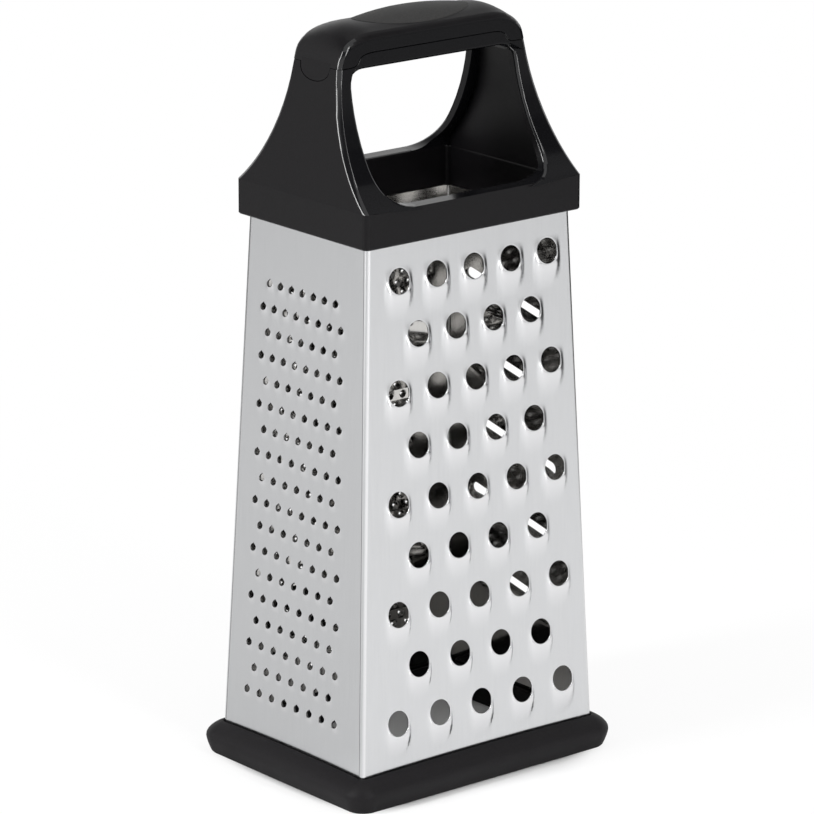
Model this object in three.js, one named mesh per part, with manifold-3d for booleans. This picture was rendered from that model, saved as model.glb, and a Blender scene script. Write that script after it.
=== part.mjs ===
// Four-sided tower grater with a moulded handle and a rubber base ring.
// Millimetres, +Z up, origin on the floor under the middle of the base ring.
// The wide faces look along -Y (coarse teeth) and +Y (rasp).
// The narrow faces look along -X (fine teeth) and +X (slicer).

import * as THREE from 'three';
import { mergeVertices } from 'three/addons/utils/BufferGeometryUtils.js';
import Module from 'manifold-3d';

const wasm = await Module();
wasm.setup();

// Steel body: outside sizes where it leaves the base ring (foot) and where it enters the collar (head)
const FOOT_WIDTH = 94;
const FOOT_DEPTH = 69.6;
const HEAD_WIDTH = 80.6;
const HEAD_DEPTH = 57.6;
const STEEL_SHOWN = 165;
const SHEET = 0.6;
const FOLD_RADIUS = 1.4;

// Clearances: welded corner seams, and every place where one piece sits in another
const SEAM_GAP = 0.3;
const FIT = 0.3;

// Base ring
const RING_HEIGHT = 10.3;
const RING_REACH = 6;
const RING_TUCK = 2;
const RING_WIDEST = 5.2;
const RING_LIP = 0.9;
const RING_FLOOR = 4;
const RING_INNER_LIP = 1.8;

// Collar that grips the head of the steel
const COLLAR_HEIGHT = 11;
const COLLAR_REACH = 2.75;
const COLLAR_CORNER = 1.8;
const HEAD_GRIP = 7.8;
const SKIRT = 2;
const SKIRT_DROP = 2.3;
const RIM_ROUND = 0.9;

// Handle arch above the collar
const FINGER_GAP = 39;
const WINDOW_FOOT_WIDTH = 66.6;
const WINDOW_HEAD_WIDTH = 64.2;
const WINDOW_FOOT_ROUND = 11;
const WINDOW_HEAD_ROUND = 5;
const BAR = 4.7;
const GRIP_LENGTH = 72.8;
const GRIP_DEPTH = 22.6;
const GRIP_RISE = 8;
const GRIP_END_ROUND = 12.5;
const GRIP_CROWN = 2.8;
const LEG_WALL = 2.6;
const LEG_FLANGE = 3.5;
const LEG_ROOF = 2.8;

// Grip cap with its end tongues, and the soft pad let into its top
const CAP_STEP = 58;
const CAP_SHOULDER = 0.9;
const CAP_WALL = 2.6;
const CAP_ROOF = 5.2;
const SPIGOT = 2.4;
const TONGUE_WIDTH = 14;
const TONGUE_DROP = 4.8;
const TONGUE_DEPTH = 1.5;
const PAD_LENGTH = 44;
const PAD_WIDTH = 18;
const PAD_SEAT = 3.4;
const PAD_PROUD = 2;
const PAD_SINK = 0.5;

// Coarse teeth: rows of five and four round holes, each with a lip pressed out below it
const COARSE_ROWS = 9;
const COARSE_COLUMNS = 5;
const COARSE_ROW_PITCH = 17.35;
const COARSE_FIRST_ROW = 14.3;
const COARSE_COLUMN_PITCH = 17;
const COARSE_HOLE = 8.1;
const COARSE_LIP_RISE = 1.3;
const COARSE_LIP_DROP = 7.4;
const COARSE_LIP_SIDE = 1.1;

// Fine teeth: rows of eight and seven teardrop holes with small lips
const FINE_ROWS = 18;
const FINE_COLUMNS = 8;
const FINE_ROW_PITCH = 7.75;
const FINE_FIRST_ROW = 13.5;
const FINE_COLUMN_PITCH = 6.3;
const FINE_SHIFT = 1.2;
const FINE_HOLE = 2.6;
const FINE_POINT = 1.9;
const FINE_LIP_RISE = 0.5;
const FINE_LIP_DROP = 2.6;
const FINE_LIP_SIDE = 0.45;

// Slicer: slanted slots whose lower edges stand out as blades
const SLOTS = 5;
const SLOT_PITCH = 24;
const SLOT_LENGTH = 42;
const SLOT_GAP = 4.4;
const SLOT_SLANT = THREE.MathUtils.degToRad(13);
const SLOT_LIP_RISE = 1.7;
const SLOT_LIP_DROP = 7;

// Rasp: staggered star punches, each burst outwards into four points
const RASP_ROWS = 17;
const RASP_COLUMNS = 8;
const RASP_ROW_PITCH = 8.8;
const RASP_FIRST_ROW = 11.5;
const RASP_COLUMN_PITCH = 9.4;
const RASP_BURST = 4;
const RASP_HOLE = 2;
const RASP_RISE = 0.9;
const RASP_POINTS = 4;

// Facets
const ARC_STEPS = 6;
const FOLD_STEPS = 3;
const RING_STEPS = 3;
const CORNER_STEPS = 3;
const DRILL_SIDES = 10;
const OVAL_SIDES = 20;
const COARSE_LIP_FACETS = { around: 8, rings: 2 };
const COARSE_HOLLOW_FACETS = { around: 4, rings: 1 };
const SLOT_LIP_FACETS = { around: 10, rings: 2 };
const SLOT_HOLLOW_FACETS = { around: 8, rings: 1 };
const SMALL_LIP_FACETS = { around: 4, rings: 1 };

// Distance within which points are one, and length of the drills and cutters
const WELD = 1e-4;
const THROUGH = 10;

// Heights above the floor
const COLLAR_FOOT = RING_HEIGHT + STEEL_SHOWN;
const COLLAR_TOP = COLLAR_FOOT + COLLAR_HEIGHT;
const STEEL_FOOT = RING_FLOOR + FIT;
const STEEL_HEAD = COLLAR_FOOT + HEAD_GRIP;
const GROOVE_ROOF = STEEL_HEAD + FIT;
const BAR_FOOT = COLLAR_TOP + FINGER_GAP;
const BAR_TOP = BAR_FOOT + BAR;
const SHOULDER = BAR_FOOT + CAP_SHOULDER;
const GRIP_TOP = BAR_TOP + GRIP_RISE;

const STEEL = new THREE.MeshStandardMaterial({ color: 0xd2d4d8, roughness: 0.28, metalness: 1 });
const PLASTIC = new THREE.MeshStandardMaterial({ color: 0x262427, roughness: 0.3, metalness: 0 });
const SOFT = new THREE.MeshStandardMaterial({ color: 0x2b2a27, roughness: 0.65, metalness: 0 });
const RUBBER = new THREE.MeshStandardMaterial({ color: 0x242124, roughness: 0.8, metalness: 0 });

// Joining and cutting

function toSolid(geometry) {
  const bare = geometry.clone();
  for (const name of Object.keys(bare.attributes)) {
    if (name !== 'position') bare.deleteAttribute(name);
  }
  const merged = mergeVertices(bare, WELD);
  const index = merged.index.array;
  const triangles = [];
  for (let i = 0; i < index.length; i += 3) {
    const [a, b, c] = index.slice(i, i + 3);
    if (a !== b && b !== c && c !== a) triangles.push(a, b, c);
  }
  const vertProperties = new Float32Array(merged.attributes.position.array);
  const triVerts = new Uint32Array(triangles);
  return new wasm.Manifold(new wasm.Mesh({ numProp: 3, vertProperties, triVerts }));
}

function toMesh(name, solid, material) {
  const { vertProperties, triVerts } = solid.getMesh();
  const geometry = new THREE.BufferGeometry();
  geometry.setAttribute('position', new THREE.BufferAttribute(vertProperties, 3));
  geometry.setIndex(new THREE.BufferAttribute(triVerts, 1));
  geometry.computeVertexNormals();
  const mesh = new THREE.Mesh(geometry, material);
  mesh.name = name;
  return mesh;
}

const joined = (solids) => solids.reduce((all, next) => all.add(next));

// Extrusions of outlines drawn in plan, in front elevation (x, z) and in side elevation (y, z)

const X = new THREE.Vector3(1, 0, 0);
const Y = new THREE.Vector3(0, 1, 0);
const Z = new THREE.Vector3(0, 0, 1);
const FRONT_VIEW = new THREE.Matrix4().makeBasis(X, Z, Y.clone().negate());
const SIDE_VIEW = new THREE.Matrix4().makeBasis(Y, Z, X);

function extruded(outline, depth, start, view = new THREE.Matrix4()) {
  const options = { depth, bevelEnabled: false, curveSegments: ARC_STEPS };
  const geometry = new THREE.ExtrudeGeometry(outline, options);
  return toSolid(geometry.translate(0, 0, start).applyMatrix4(view));
}

const acrossDepth = (outline) => extruded(outline, 2 * FOOT_DEPTH, -FOOT_DEPTH, FRONT_VIEW);
const acrossWidth = (outline) => extruded(outline, 2 * FOOT_WIDTH, -FOOT_WIDTH, SIDE_VIEW);

const polygon = (points) => new THREE.Shape(points.map(([x, y]) => new THREE.Vector2(x, y)));

// A closed band: one rounded rectangle for each corner of its section, skinned in order and back to the first

function roundedRectangle({ halfX, halfY, radius, z }) {
  const points = [];
  for (let corner = 0; corner < 4; corner += 1) {
    const signX = corner === 0 || corner === 3 ? 1 : -1;
    const signY = corner < 2 ? 1 : -1;
    for (let step = 0; step <= CORNER_STEPS; step += 1) {
      const angle = (corner + step / CORNER_STEPS) * Math.PI / 2;
      const x = signX * (halfX - radius) + radius * Math.cos(angle);
      const y = signY * (halfY - radius) + radius * Math.sin(angle);
      points.push(x, y, z);
    }
  }
  return points;
}

function band(sections) {
  const rings = sections.map(roundedRectangle);
  const count = rings[0].length / 3;
  const index = [];
  for (let ring = 0; ring < rings.length; ring += 1) {
    const above = ((ring + 1) % rings.length) * count;
    for (let i = 0; i < count; i += 1) {
      const here = ring * count + i;
      const next = ring * count + (i + 1) % count;
      const up = above + i;
      const upNext = above + (i + 1) % count;
      index.push(here, next, upNext, here, upNext, up);
    }
  }
  const geometry = new THREE.BufferGeometry();
  geometry.setAttribute('position', new THREE.Float32BufferAttribute(rings.flat(), 3));
  geometry.setIndex(index);
  return toSolid(geometry);
}

// Steel faces, drawn flat: u across, v up the slope from the ring's top edge, outside surface at 0

function steelFace(footSpan, headSpan, footReach, headReach) {
  const lean = Math.atan2(footReach - headReach, STEEL_SHOWN);
  const along = (height) => (height - RING_HEIGHT) / Math.cos(lean);
  const slope = along(COLLAR_FOOT);
  const halfSpan = (v) => (footSpan + (headSpan - footSpan) * v / slope) / 2;
  const bottom = along(STEEL_FOOT);
  const top = along(STEEL_HEAD);
  return { lean, slope, halfSpan, footSpan, bottom, top, reach: footReach };
}

const WIDE = steelFace(FOOT_WIDTH, HEAD_WIDTH, FOOT_DEPTH / 2, HEAD_DEPTH / 2);
const NARROW = steelFace(FOOT_DEPTH, HEAD_DEPTH, FOOT_WIDTH / 2, HEAD_WIDTH / 2);

function flatSheet(face, edge) {
  const low = face.halfSpan(face.bottom) - edge;
  const high = face.halfSpan(face.top) - edge;
  const outline = polygon([[-low, face.bottom], [low, face.bottom], [high, face.top], [-high, face.top]]);
  return extruded(outline, SHEET, -SHEET);
}

// The quarter-round fold at one edge of a wide face, up to the seam with the narrow face
function foldedEdge(face, side) {
  const lap = FOLD_RADIUS / 2;
  const section = new THREE.Shape();
  const start = -Math.PI / 2;
  const end = side > 0 ? 0 : -Math.PI;
  section.moveTo(-side * lap, 0);
  section.lineTo(0, 0);
  section.absarc(0, FOLD_RADIUS, FOLD_RADIUS, start, end, side < 0);
  section.absarc(0, FOLD_RADIUS, FOLD_RADIUS - SHEET, end, start, side > 0);
  section.lineTo(-side * lap, SHEET);
  const depth = face.top - face.bottom;
  const options = { depth, bevelEnabled: false, curveSegments: FOLD_STEPS };
  const geometry = new THREE.ExtrudeGeometry(section, options);
  const taper = (face.halfSpan(face.top) - face.halfSpan(face.bottom)) / depth;
  const shift = side * (face.halfSpan(face.bottom) - FOLD_RADIUS);
  const place = new THREE.Matrix4().set(
    1, 0, side * taper, shift,
    0, 0, 1, face.bottom,
    0, -1, 0, 0,
    0, 0, 0, 1,
  );
  return toSolid(geometry.applyMatrix4(place));
}

const wideSheet = () => joined([flatSheet(WIDE, FOLD_RADIUS), foldedEdge(WIDE, 1), foldedEdge(WIDE, -1)]);
const narrowSheet = () => flatSheet(NARROW, FOLD_RADIUS + SEAM_GAP);

// Staggered punch places: every second row holds one punch fewer, and the pattern fans with the face
function places(face, { rows, columns, rowPitch, firstRow, columnPitch, shift = 0 }) {
  const spots = [];
  for (let row = 0; row < rows; row += 1) {
    const v = firstRow + row * rowPitch;
    const count = columns - row % 2;
    const pitch = columnPitch * 2 * face.halfSpan(v) / face.footSpan;
    for (let i = 0; i < count; i += 1) {
      spots.push([(i - (count - 1) / 2) * pitch - shift, v]);
    }
  }
  return spots;
}

// A pressed dome on the sheet: reaches up and down differ from its middle, where it stands highest
function dome({ halfWidth, up, down, rise, base, around, rings }) {
  const profile = [];
  for (let i = 0; i <= rings; i += 1) {
    const turn = (1 - i / rings) * Math.PI / 2;
    const across = i === rings ? 0 : Math.sin(turn);
    const height = i === 0 ? 0 : Math.cos(turn);
    profile.push(new THREE.Vector2(across, height));
  }
  profile.unshift(new THREE.Vector2(0, 0));
  const geometry = new THREE.LatheGeometry(profile, around).rotateX(Math.PI / 2);
  const position = geometry.attributes.position;
  for (let i = 0; i < position.count; i += 1) {
    const x = position.getX(i) * halfWidth;
    const y = position.getY(i) * (position.getY(i) > 0 ? up : down);
    position.setXYZ(i, x, y, base + position.getZ(i) * (rise - base));
  }
  return toSolid(geometry);
}

// Puts a raised form and a cut on a sheet at every place
function punched(sheet, spots, raised, cuts) {
  let steel = sheet;
  for (const [u, v] of spots) steel = steel.add(raised.translate([u, v, 0]));
  for (const [u, v] of spots) {
    for (const cut of cuts) steel = steel.subtract(cut.translate([u, v, 0]));
  }
  return steel;
}

function coarseFace() {
  const radius = COARSE_HOLE / 2;
  const lip = {
    halfWidth: radius + COARSE_LIP_SIDE, up: radius, down: COARSE_LIP_DROP,
    rise: COARSE_LIP_RISE, base: -SHEET / 2, ...COARSE_LIP_FACETS,
  };
  const hollow = {
    ...lip, halfWidth: lip.halfWidth - SHEET, down: lip.down - 2 * SHEET,
    rise: lip.rise - SHEET, base: -SHEET - FIT, ...COARSE_HOLLOW_FACETS,
  };
  const raised = dome(lip).translate([0, -radius, 0]);
  const under = dome(hollow).translate([0, -radius, 0]);
  const drill = new THREE.CylinderGeometry(radius, radius, THROUGH, DRILL_SIDES).rotateX(Math.PI / 2);
  const spots = places(WIDE, {
    rows: COARSE_ROWS, columns: COARSE_COLUMNS, rowPitch: COARSE_ROW_PITCH,
    firstRow: COARSE_FIRST_ROW, columnPitch: COARSE_COLUMN_PITCH,
  });
  return punched(wideSheet(), spots, raised, [under, toSolid(drill)]);
}

function fineFace() {
  const radius = FINE_HOLE / 2;
  const lip = {
    halfWidth: radius + FINE_LIP_SIDE, up: radius, down: FINE_LIP_DROP,
    rise: FINE_LIP_RISE, base: -SHEET / 2, ...SMALL_LIP_FACETS,
  };
  const middle = -radius / 2;
  const raised = dome(lip).translate([0, middle, 0]);
  const teardrop = polygon([[0, FINE_POINT], [-radius, middle], [0, middle - radius], [radius, middle]]);
  const cut = extruded(teardrop, THROUGH, -THROUGH / 2);
  const spots = places(NARROW, {
    rows: FINE_ROWS, columns: FINE_COLUMNS, rowPitch: FINE_ROW_PITCH,
    firstRow: FINE_FIRST_ROW, columnPitch: FINE_COLUMN_PITCH, shift: FINE_SHIFT,
  });
  return punched(narrowSheet(), spots, raised, [cut]);
}

function slicerFace() {
  const half = SLOT_GAP / 2;
  const run = SLOT_LENGTH / 2 - half;
  const outline = new THREE.Shape();
  outline.absarc(run, 0, half, -Math.PI / 2, Math.PI / 2, false);
  outline.absarc(-run, 0, half, Math.PI / 2, 3 * Math.PI / 2, false);
  const lip = {
    halfWidth: SLOT_LENGTH / 2 - SHEET, up: half, down: SLOT_LIP_DROP,
    rise: SLOT_LIP_RISE, base: -SHEET / 2, ...SLOT_LIP_FACETS,
  };
  const hollow = {
    ...lip, halfWidth: lip.halfWidth - 2 * SHEET, down: lip.down - 2 * SHEET,
    rise: lip.rise - SHEET, base: -SHEET - FIT, ...SLOT_HOLLOW_FACETS,
  };
  const slant = [0, 0, THREE.MathUtils.radToDeg(SLOT_SLANT)];
  const raised = dome(lip).translate([0, -half, 0]).rotate(slant);
  const under = dome(hollow).translate([0, -half, 0]).rotate(slant);
  const cut = extruded(outline, THROUGH, -THROUGH / 2).rotate(slant);
  const first = NARROW.slope / 2 - (SLOTS - 1) / 2 * SLOT_PITCH;
  const spots = Array.from({ length: SLOTS }, (_, i) => [0, first + i * SLOT_PITCH]);
  return punched(narrowSheet(), spots, raised, [under, cut]);
}

function raspFace() {
  const burst = RASP_BURST / 2;
  const lip = {
    halfWidth: burst, up: burst, down: burst,
    rise: RASP_RISE, base: -SHEET / 2, ...SMALL_LIP_FACETS,
  };
  const star = new THREE.CylinderGeometry(RASP_HOLE / 2, RASP_HOLE / 2, THROUGH, RASP_POINTS);
  const spots = places(WIDE, {
    rows: RASP_ROWS, columns: RASP_COLUMNS, rowPitch: RASP_ROW_PITCH,
    firstRow: RASP_FIRST_ROW, columnPitch: RASP_COLUMN_PITCH,
  });
  return punched(wideSheet(), spots, dome(lip), [toSolid(star.rotateX(Math.PI / 2))]);
}

// Stands a flat-drawn face up on its side of the body, leaning in towards the head
function stood(mesh, face, turn) {
  mesh.position.set(0, -face.reach, RING_HEIGHT);
  mesh.rotation.x = Math.PI / 2 - face.lean;
  const side = new THREE.Group();
  side.rotation.z = turn;
  side.add(mesh);
  return side;
}

// Base ring: its section runs up the outside, over the lip, down and up the groove, and down the inside
function baseRing() {
  const spread = (height) => (RING_HEIGHT - height) * Math.tan(NARROW.lean);
  const inside = -SHEET - FIT;
  const corner = (reach, z) => ({
    halfX: FOOT_WIDTH / 2 + reach, halfY: FOOT_DEPTH / 2 + reach,
    radius: Math.max(FOLD_RADIUS + reach, SHEET), z,
  });
  const tucked = (z) => RING_REACH - RING_TUCK * (1 - z / RING_WIDEST) ** 2;
  const rounded = [];
  for (let step = 0; step <= RING_STEPS; step += 1) {
    const turn = step / RING_STEPS * Math.PI / 2;
    const reach = RING_LIP + (RING_REACH - RING_LIP) * Math.cos(turn);
    rounded.push(corner(reach, RING_WIDEST + (RING_HEIGHT - RING_WIDEST) * Math.sin(turn)));
  }
  return band([
    corner(tucked(0), 0),
    corner(tucked(RING_WIDEST / 2), RING_WIDEST / 2),
    ...rounded,
    corner(FIT, RING_HEIGHT),
    corner(FIT + spread(RING_FLOOR), RING_FLOOR),
    corner(inside, RING_FLOOR),
    corner(inside, RING_HEIGHT),
    corner(inside - RING_INNER_LIP, RING_HEIGHT),
    corner(inside - RING_INNER_LIP, 0),
  ]);
}

// Handle

const COLLAR_HALF_WIDTH = HEAD_WIDTH / 2 + COLLAR_REACH;
const COLLAR_HALF_DEPTH = HEAD_DEPTH / 2 + COLLAR_REACH;
const SKIRT_OUTSIDE = SHEET + FIT + HEAD_GRIP * Math.tan(NARROW.lean);
const THROAT_HALF_WIDTH = HEAD_WIDTH / 2 - SKIRT_OUTSIDE - SKIRT;
const THROAT_HALF_DEPTH = HEAD_DEPTH / 2 - SKIRT_OUTSIDE - SKIRT;

// Section of the collar: outside, rim, throat, skirt, and the groove that the steel stands in
function collar() {
  const corner = (reach, z, radius) => ({
    halfX: HEAD_WIDTH / 2 + reach, halfY: HEAD_DEPTH / 2 + reach, radius, z,
  });
  const throat = -SKIRT_OUTSIDE - SKIRT;
  const skirtFoot = COLLAR_FOOT - SKIRT_DROP;
  return band([
    corner(COLLAR_REACH, COLLAR_FOOT, COLLAR_CORNER),
    corner(COLLAR_REACH, COLLAR_TOP, COLLAR_CORNER),
    corner(throat + RIM_ROUND, COLLAR_TOP, FOLD_RADIUS),
    corner(throat, COLLAR_TOP - RIM_ROUND, FOLD_RADIUS),
    corner(throat, skirtFoot, FOLD_RADIUS),
    corner(-SKIRT_OUTSIDE, skirtFoot, FOLD_RADIUS),
    corner(-SKIRT_OUTSIDE, GROOVE_ROOF, FOLD_RADIUS),
    corner(FIT, GROOVE_ROOF, FOLD_RADIUS + FIT),
    corner(FIT, COLLAR_FOOT, FOLD_RADIUS + FIT),
  ]);
}

const LEG_LEAN = (COLLAR_HALF_WIDTH - GRIP_LENGTH / 2) / (BAR_TOP - COLLAR_TOP);
const legOutside = (z) => COLLAR_HALF_WIDTH - LEG_LEAN * (z - COLLAR_TOP);
const ARCH_FOOT = COLLAR_TOP - RIM_ROUND / 2;

// Front outline of the arch: leaning legs, rounded shoulders and the finger window between the legs
function archOutline() {
  const side = legOutside(GRIP_TOP);
  const below = GRIP_TOP - GRIP_END_ROUND;
  const foot = WINDOW_FOOT_WIDTH / 2;
  const head = WINDOW_HEAD_WIDTH / 2;
  const windowAt = (z) => foot + (head - foot) * (z - COLLAR_TOP) / FINGER_GAP;
  const footEnd = COLLAR_TOP + WINDOW_FOOT_ROUND;
  const headEnd = BAR_FOOT - WINDOW_HEAD_ROUND;
  const arch = new THREE.Shape();
  arch.moveTo(-foot + WINDOW_FOOT_ROUND, ARCH_FOOT);
  arch.lineTo(-COLLAR_HALF_WIDTH, ARCH_FOOT);
  arch.lineTo(-COLLAR_HALF_WIDTH, COLLAR_TOP);
  arch.lineTo(-legOutside(below), below);
  arch.quadraticCurveTo(-side, GRIP_TOP, -side + GRIP_END_ROUND, GRIP_TOP);
  arch.lineTo(side - GRIP_END_ROUND, GRIP_TOP);
  arch.quadraticCurveTo(side, GRIP_TOP, legOutside(below), below);
  arch.lineTo(COLLAR_HALF_WIDTH, COLLAR_TOP);
  arch.lineTo(COLLAR_HALF_WIDTH, ARCH_FOOT);
  arch.lineTo(foot - WINDOW_FOOT_ROUND, ARCH_FOOT);
  arch.lineTo(foot - WINDOW_FOOT_ROUND, COLLAR_TOP);
  arch.quadraticCurveTo(foot, COLLAR_TOP, windowAt(footEnd), footEnd);
  arch.lineTo(windowAt(headEnd), headEnd);
  arch.quadraticCurveTo(head, BAR_FOOT, head - WINDOW_HEAD_ROUND, BAR_FOOT);
  arch.lineTo(-head + WINDOW_HEAD_ROUND, BAR_FOOT);
  arch.quadraticCurveTo(-head, BAR_FOOT, -windowAt(headEnd), headEnd);
  arch.lineTo(-windowAt(footEnd), footEnd);
  arch.quadraticCurveTo(-foot, COLLAR_TOP, -foot + WINDOW_FOOT_ROUND, COLLAR_TOP);
  return arch;
}

// Side outline: an arc flares each leg from the grip's depth to the collar's, and the grip is crowned
function flareOutline(inset, crown) {
  const grip = GRIP_DEPTH / 2 - inset;
  const base = COLLAR_HALF_DEPTH - inset;
  const rise = BAR_TOP - COLLAR_TOP;
  const out = base - grip;
  const radius = (out * out + rise * rise) / (2 * out);
  const centre = grip + radius;
  const turn = Math.asin(rise / radius);
  const outline = new THREE.Shape();
  outline.moveTo(-base, ARCH_FOOT);
  outline.lineTo(base, ARCH_FOOT);
  outline.absarc(centre, BAR_TOP, radius, Math.PI + turn, Math.PI, true);
  outline.lineTo(grip, GRIP_TOP - crown);
  outline.quadraticCurveTo(0, GRIP_TOP + crown, -grip, GRIP_TOP - crown);
  outline.absarc(-centre, BAR_TOP, radius, 0, -turn, true);
  return outline;
}

// Space above the parting line between cap and frame, stepped down over the legs
function capSpace(gap) {
  const step = CAP_STEP / 2 + gap;
  const far = FOOT_WIDTH;
  const sky = GRIP_TOP + FOOT_WIDTH;
  return acrossDepth(polygon([
    [-far, SHOULDER + gap], [-step, SHOULDER + gap], [-step, BAR_TOP + gap], [step, BAR_TOP + gap],
    [step, SHOULDER + gap], [far, SHOULDER + gap], [far, sky], [-far, sky],
  ]));
}

// The round-ended tongue that laps over the outside of one leg
function tongue(side, gap) {
  const half = TONGUE_WIDTH / 2 + gap;
  const foot = SHOULDER - TONGUE_DROP - gap;
  const head = SHOULDER + TONGUE_DEPTH;
  const outline = new THREE.Shape();
  outline.moveTo(half, head);
  outline.lineTo(-half, head);
  outline.lineTo(-half, SHOULDER);
  outline.bezierCurveTo(-half, foot, half, foot, half, SHOULDER);
  const skin = (z) => side * (legOutside(z) - TONGUE_DEPTH - gap);
  const far = side * FOOT_WIDTH;
  const layer = polygon([[skin(foot), foot], [far, foot], [far, head], [skin(head), head]]);
  return acrossWidth(outline).intersect(acrossDepth(layer));
}

// Hollow drawn up through the throat into both legs
function legHollow() {
  const top = BAR_FOOT - LEG_ROOF;
  const low = COLLAR_TOP - RIM_ROUND;
  const meet = COLLAR_TOP + (COLLAR_HALF_WIDTH - LEG_WALL - THROAT_HALF_WIDTH) / LEG_LEAN;
  const bend = THREE.MathUtils.clamp(meet, low, top);
  const head = Math.min(legOutside(top) - LEG_WALL, THROAT_HALF_WIDTH);
  const front = polygon([
    [-THROAT_HALF_WIDTH, low], [THROAT_HALF_WIDTH, low], [THROAT_HALF_WIDTH, bend], [head, top],
    [-head, top], [-THROAT_HALF_WIDTH, bend],
  ]);
  const throat = polygon([
    [-THROAT_HALF_DEPTH, low], [THROAT_HALF_DEPTH, low], [THROAT_HALF_DEPTH, top], [-THROAT_HALF_DEPTH, top],
  ]);
  const inside = acrossWidth(flareOutline(LEG_FLANGE, 0));
  return acrossDepth(front).intersect(acrossWidth(throat)).intersect(inside);
}

// Straight-sided space inside the cap, which the frame's spigot fills at its foot
function capCavity(top, gap) {
  const halfWidth = CAP_STEP / 2 - CAP_WALL - gap;
  const halfDepth = GRIP_DEPTH / 2 - CAP_WALL - gap;
  const low = BAR_TOP - BAR / 2;
  const block = new THREE.BoxGeometry(2 * halfWidth, 2 * halfDepth, top - low);
  return toSolid(block.translate(0, 0, (top + low) / 2));
}

// Upright oval column that stands in the cap from a depth below its top
function oval(gap) {
  const column = new THREE.CylinderGeometry(1, 1, THROUGH, OVAL_SIDES).rotateX(Math.PI / 2);
  column.scale(PAD_LENGTH / 2 + gap, PAD_WIDTH / 2 + gap, 1);
  return toSolid(column.translate(0, 0, GRIP_TOP - PAD_SEAT - gap + THROUGH / 2));
}

// Outline of everything under a crown that is highest in the middle
function crowned(half, rim, crown) {
  const outline = new THREE.Shape();
  outline.moveTo(-half, BAR_TOP);
  outline.lineTo(half, BAR_TOP);
  outline.lineTo(half, rim);
  outline.quadraticCurveTo(0, 2 * crown - rim, -half, rim);
  return outline;
}

// Oval pad, crowned both ways, whose rim lies just under the surface of the cap
function softPad() {
  const top = GRIP_TOP + PAD_PROUD;
  const end = GRIP_TOP - PAD_SINK;
  const side = end - GRIP_CROWN * (PAD_WIDTH / GRIP_DEPTH) ** 2;
  const long = acrossDepth(crowned(PAD_LENGTH / 2, end, top));
  const short = acrossWidth(crowned(PAD_WIDTH / 2, side, top));
  return oval(0).intersect(long).intersect(short);
}

// Upright column with the collar's rounded plan, which the arch keeps to
function collarColumn() {
  const points = roundedRectangle({
    halfX: COLLAR_HALF_WIDTH, halfY: COLLAR_HALF_DEPTH, radius: COLLAR_CORNER, z: 0,
  });
  const plan = [];
  for (let i = 0; i < points.length; i += 3) plan.push([points[i], points[i + 1]]);
  return extruded(polygon(plan), GRIP_TOP, COLLAR_FOOT);
}

function handlePieces() {
  const sides = acrossWidth(flareOutline(0, GRIP_CROWN));
  const arch = acrossDepth(archOutline()).intersect(sides).intersect(collarColumn());
  const tongues = (gap) => joined([tongue(-1, gap), tongue(1, gap)]);
  const spigot = capCavity(BAR_TOP + SPIGOT, FIT);
  const legs = arch.subtract(capSpace(0)).subtract(tongues(FIT)).subtract(legHollow());
  const frame = collar().add(legs).add(spigot);
  const shell = arch.intersect(capSpace(FIT).add(tongues(0)));
  const cap = shell.subtract(capCavity(GRIP_TOP - CAP_ROOF, 0)).subtract(oval(FIT));
  return { frame, cap, pad: softPad() };
}

const handle = handlePieces();
const grater = new THREE.Group();
grater.add(
  stood(toMesh('coarse_face', coarseFace(), STEEL), WIDE, 0),
  stood(toMesh('fine_face', fineFace(), STEEL), NARROW, -Math.PI / 2),
  stood(toMesh('rasp_face', raspFace(), STEEL), WIDE, Math.PI),
  stood(toMesh('slicer_face', slicerFace(), STEEL), NARROW, Math.PI / 2),
  toMesh('base_ring', baseRing(), RUBBER),
  toMesh('handle_frame', handle.frame, PLASTIC),
  toMesh('grip_cap', handle.cap, PLASTIC),
  toMesh('grip_pad', handle.pad, SOFT),
);

export default grater;
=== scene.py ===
"""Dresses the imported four-sided grater: pressed steel faces, rubber foot ring and moulded handle with a soft pad."""

import logging
import math
from contextlib import contextmanager
from dataclasses import dataclass
from enum import Enum
from typing import Callable, Iterator, Sequence

import bmesh
import bpy
from mathutils import Matrix, Vector


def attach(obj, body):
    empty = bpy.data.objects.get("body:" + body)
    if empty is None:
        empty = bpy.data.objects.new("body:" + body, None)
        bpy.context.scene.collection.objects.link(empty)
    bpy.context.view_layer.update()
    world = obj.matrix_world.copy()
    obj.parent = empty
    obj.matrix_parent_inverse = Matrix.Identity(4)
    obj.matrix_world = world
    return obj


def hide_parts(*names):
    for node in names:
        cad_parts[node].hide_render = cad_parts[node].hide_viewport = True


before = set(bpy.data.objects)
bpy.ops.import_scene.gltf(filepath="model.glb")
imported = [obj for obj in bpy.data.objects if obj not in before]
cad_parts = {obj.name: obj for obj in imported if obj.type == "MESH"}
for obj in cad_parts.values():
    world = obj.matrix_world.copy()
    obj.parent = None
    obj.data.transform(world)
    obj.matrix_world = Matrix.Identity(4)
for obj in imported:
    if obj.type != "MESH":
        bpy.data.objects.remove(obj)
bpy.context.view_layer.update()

LOG = logging.getLogger("grater")
BODY = "root"
# Pieces are shaped in millimetres and finished in metres.
MM = 0.001
# How close two points are, in millimetres, when they are welded, touch or are near each other.
WELD = 0.002
TOUCH = 0.001
NEAR = 0.01
# Sockets of a node that mixes colours.
MIX_DARK, MIX_LIGHT, MIX_RESULT = 6, 7, 2

Point = tuple[float, float, float]
Flat = tuple[float, float]
Tone = tuple[float, float, float]


class Pick(Enum):
    """What an edit-mode selection is made of."""

    POINTS = (True, False, False)
    EDGES = (False, True, False)
    FACES = (False, False, True)


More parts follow.
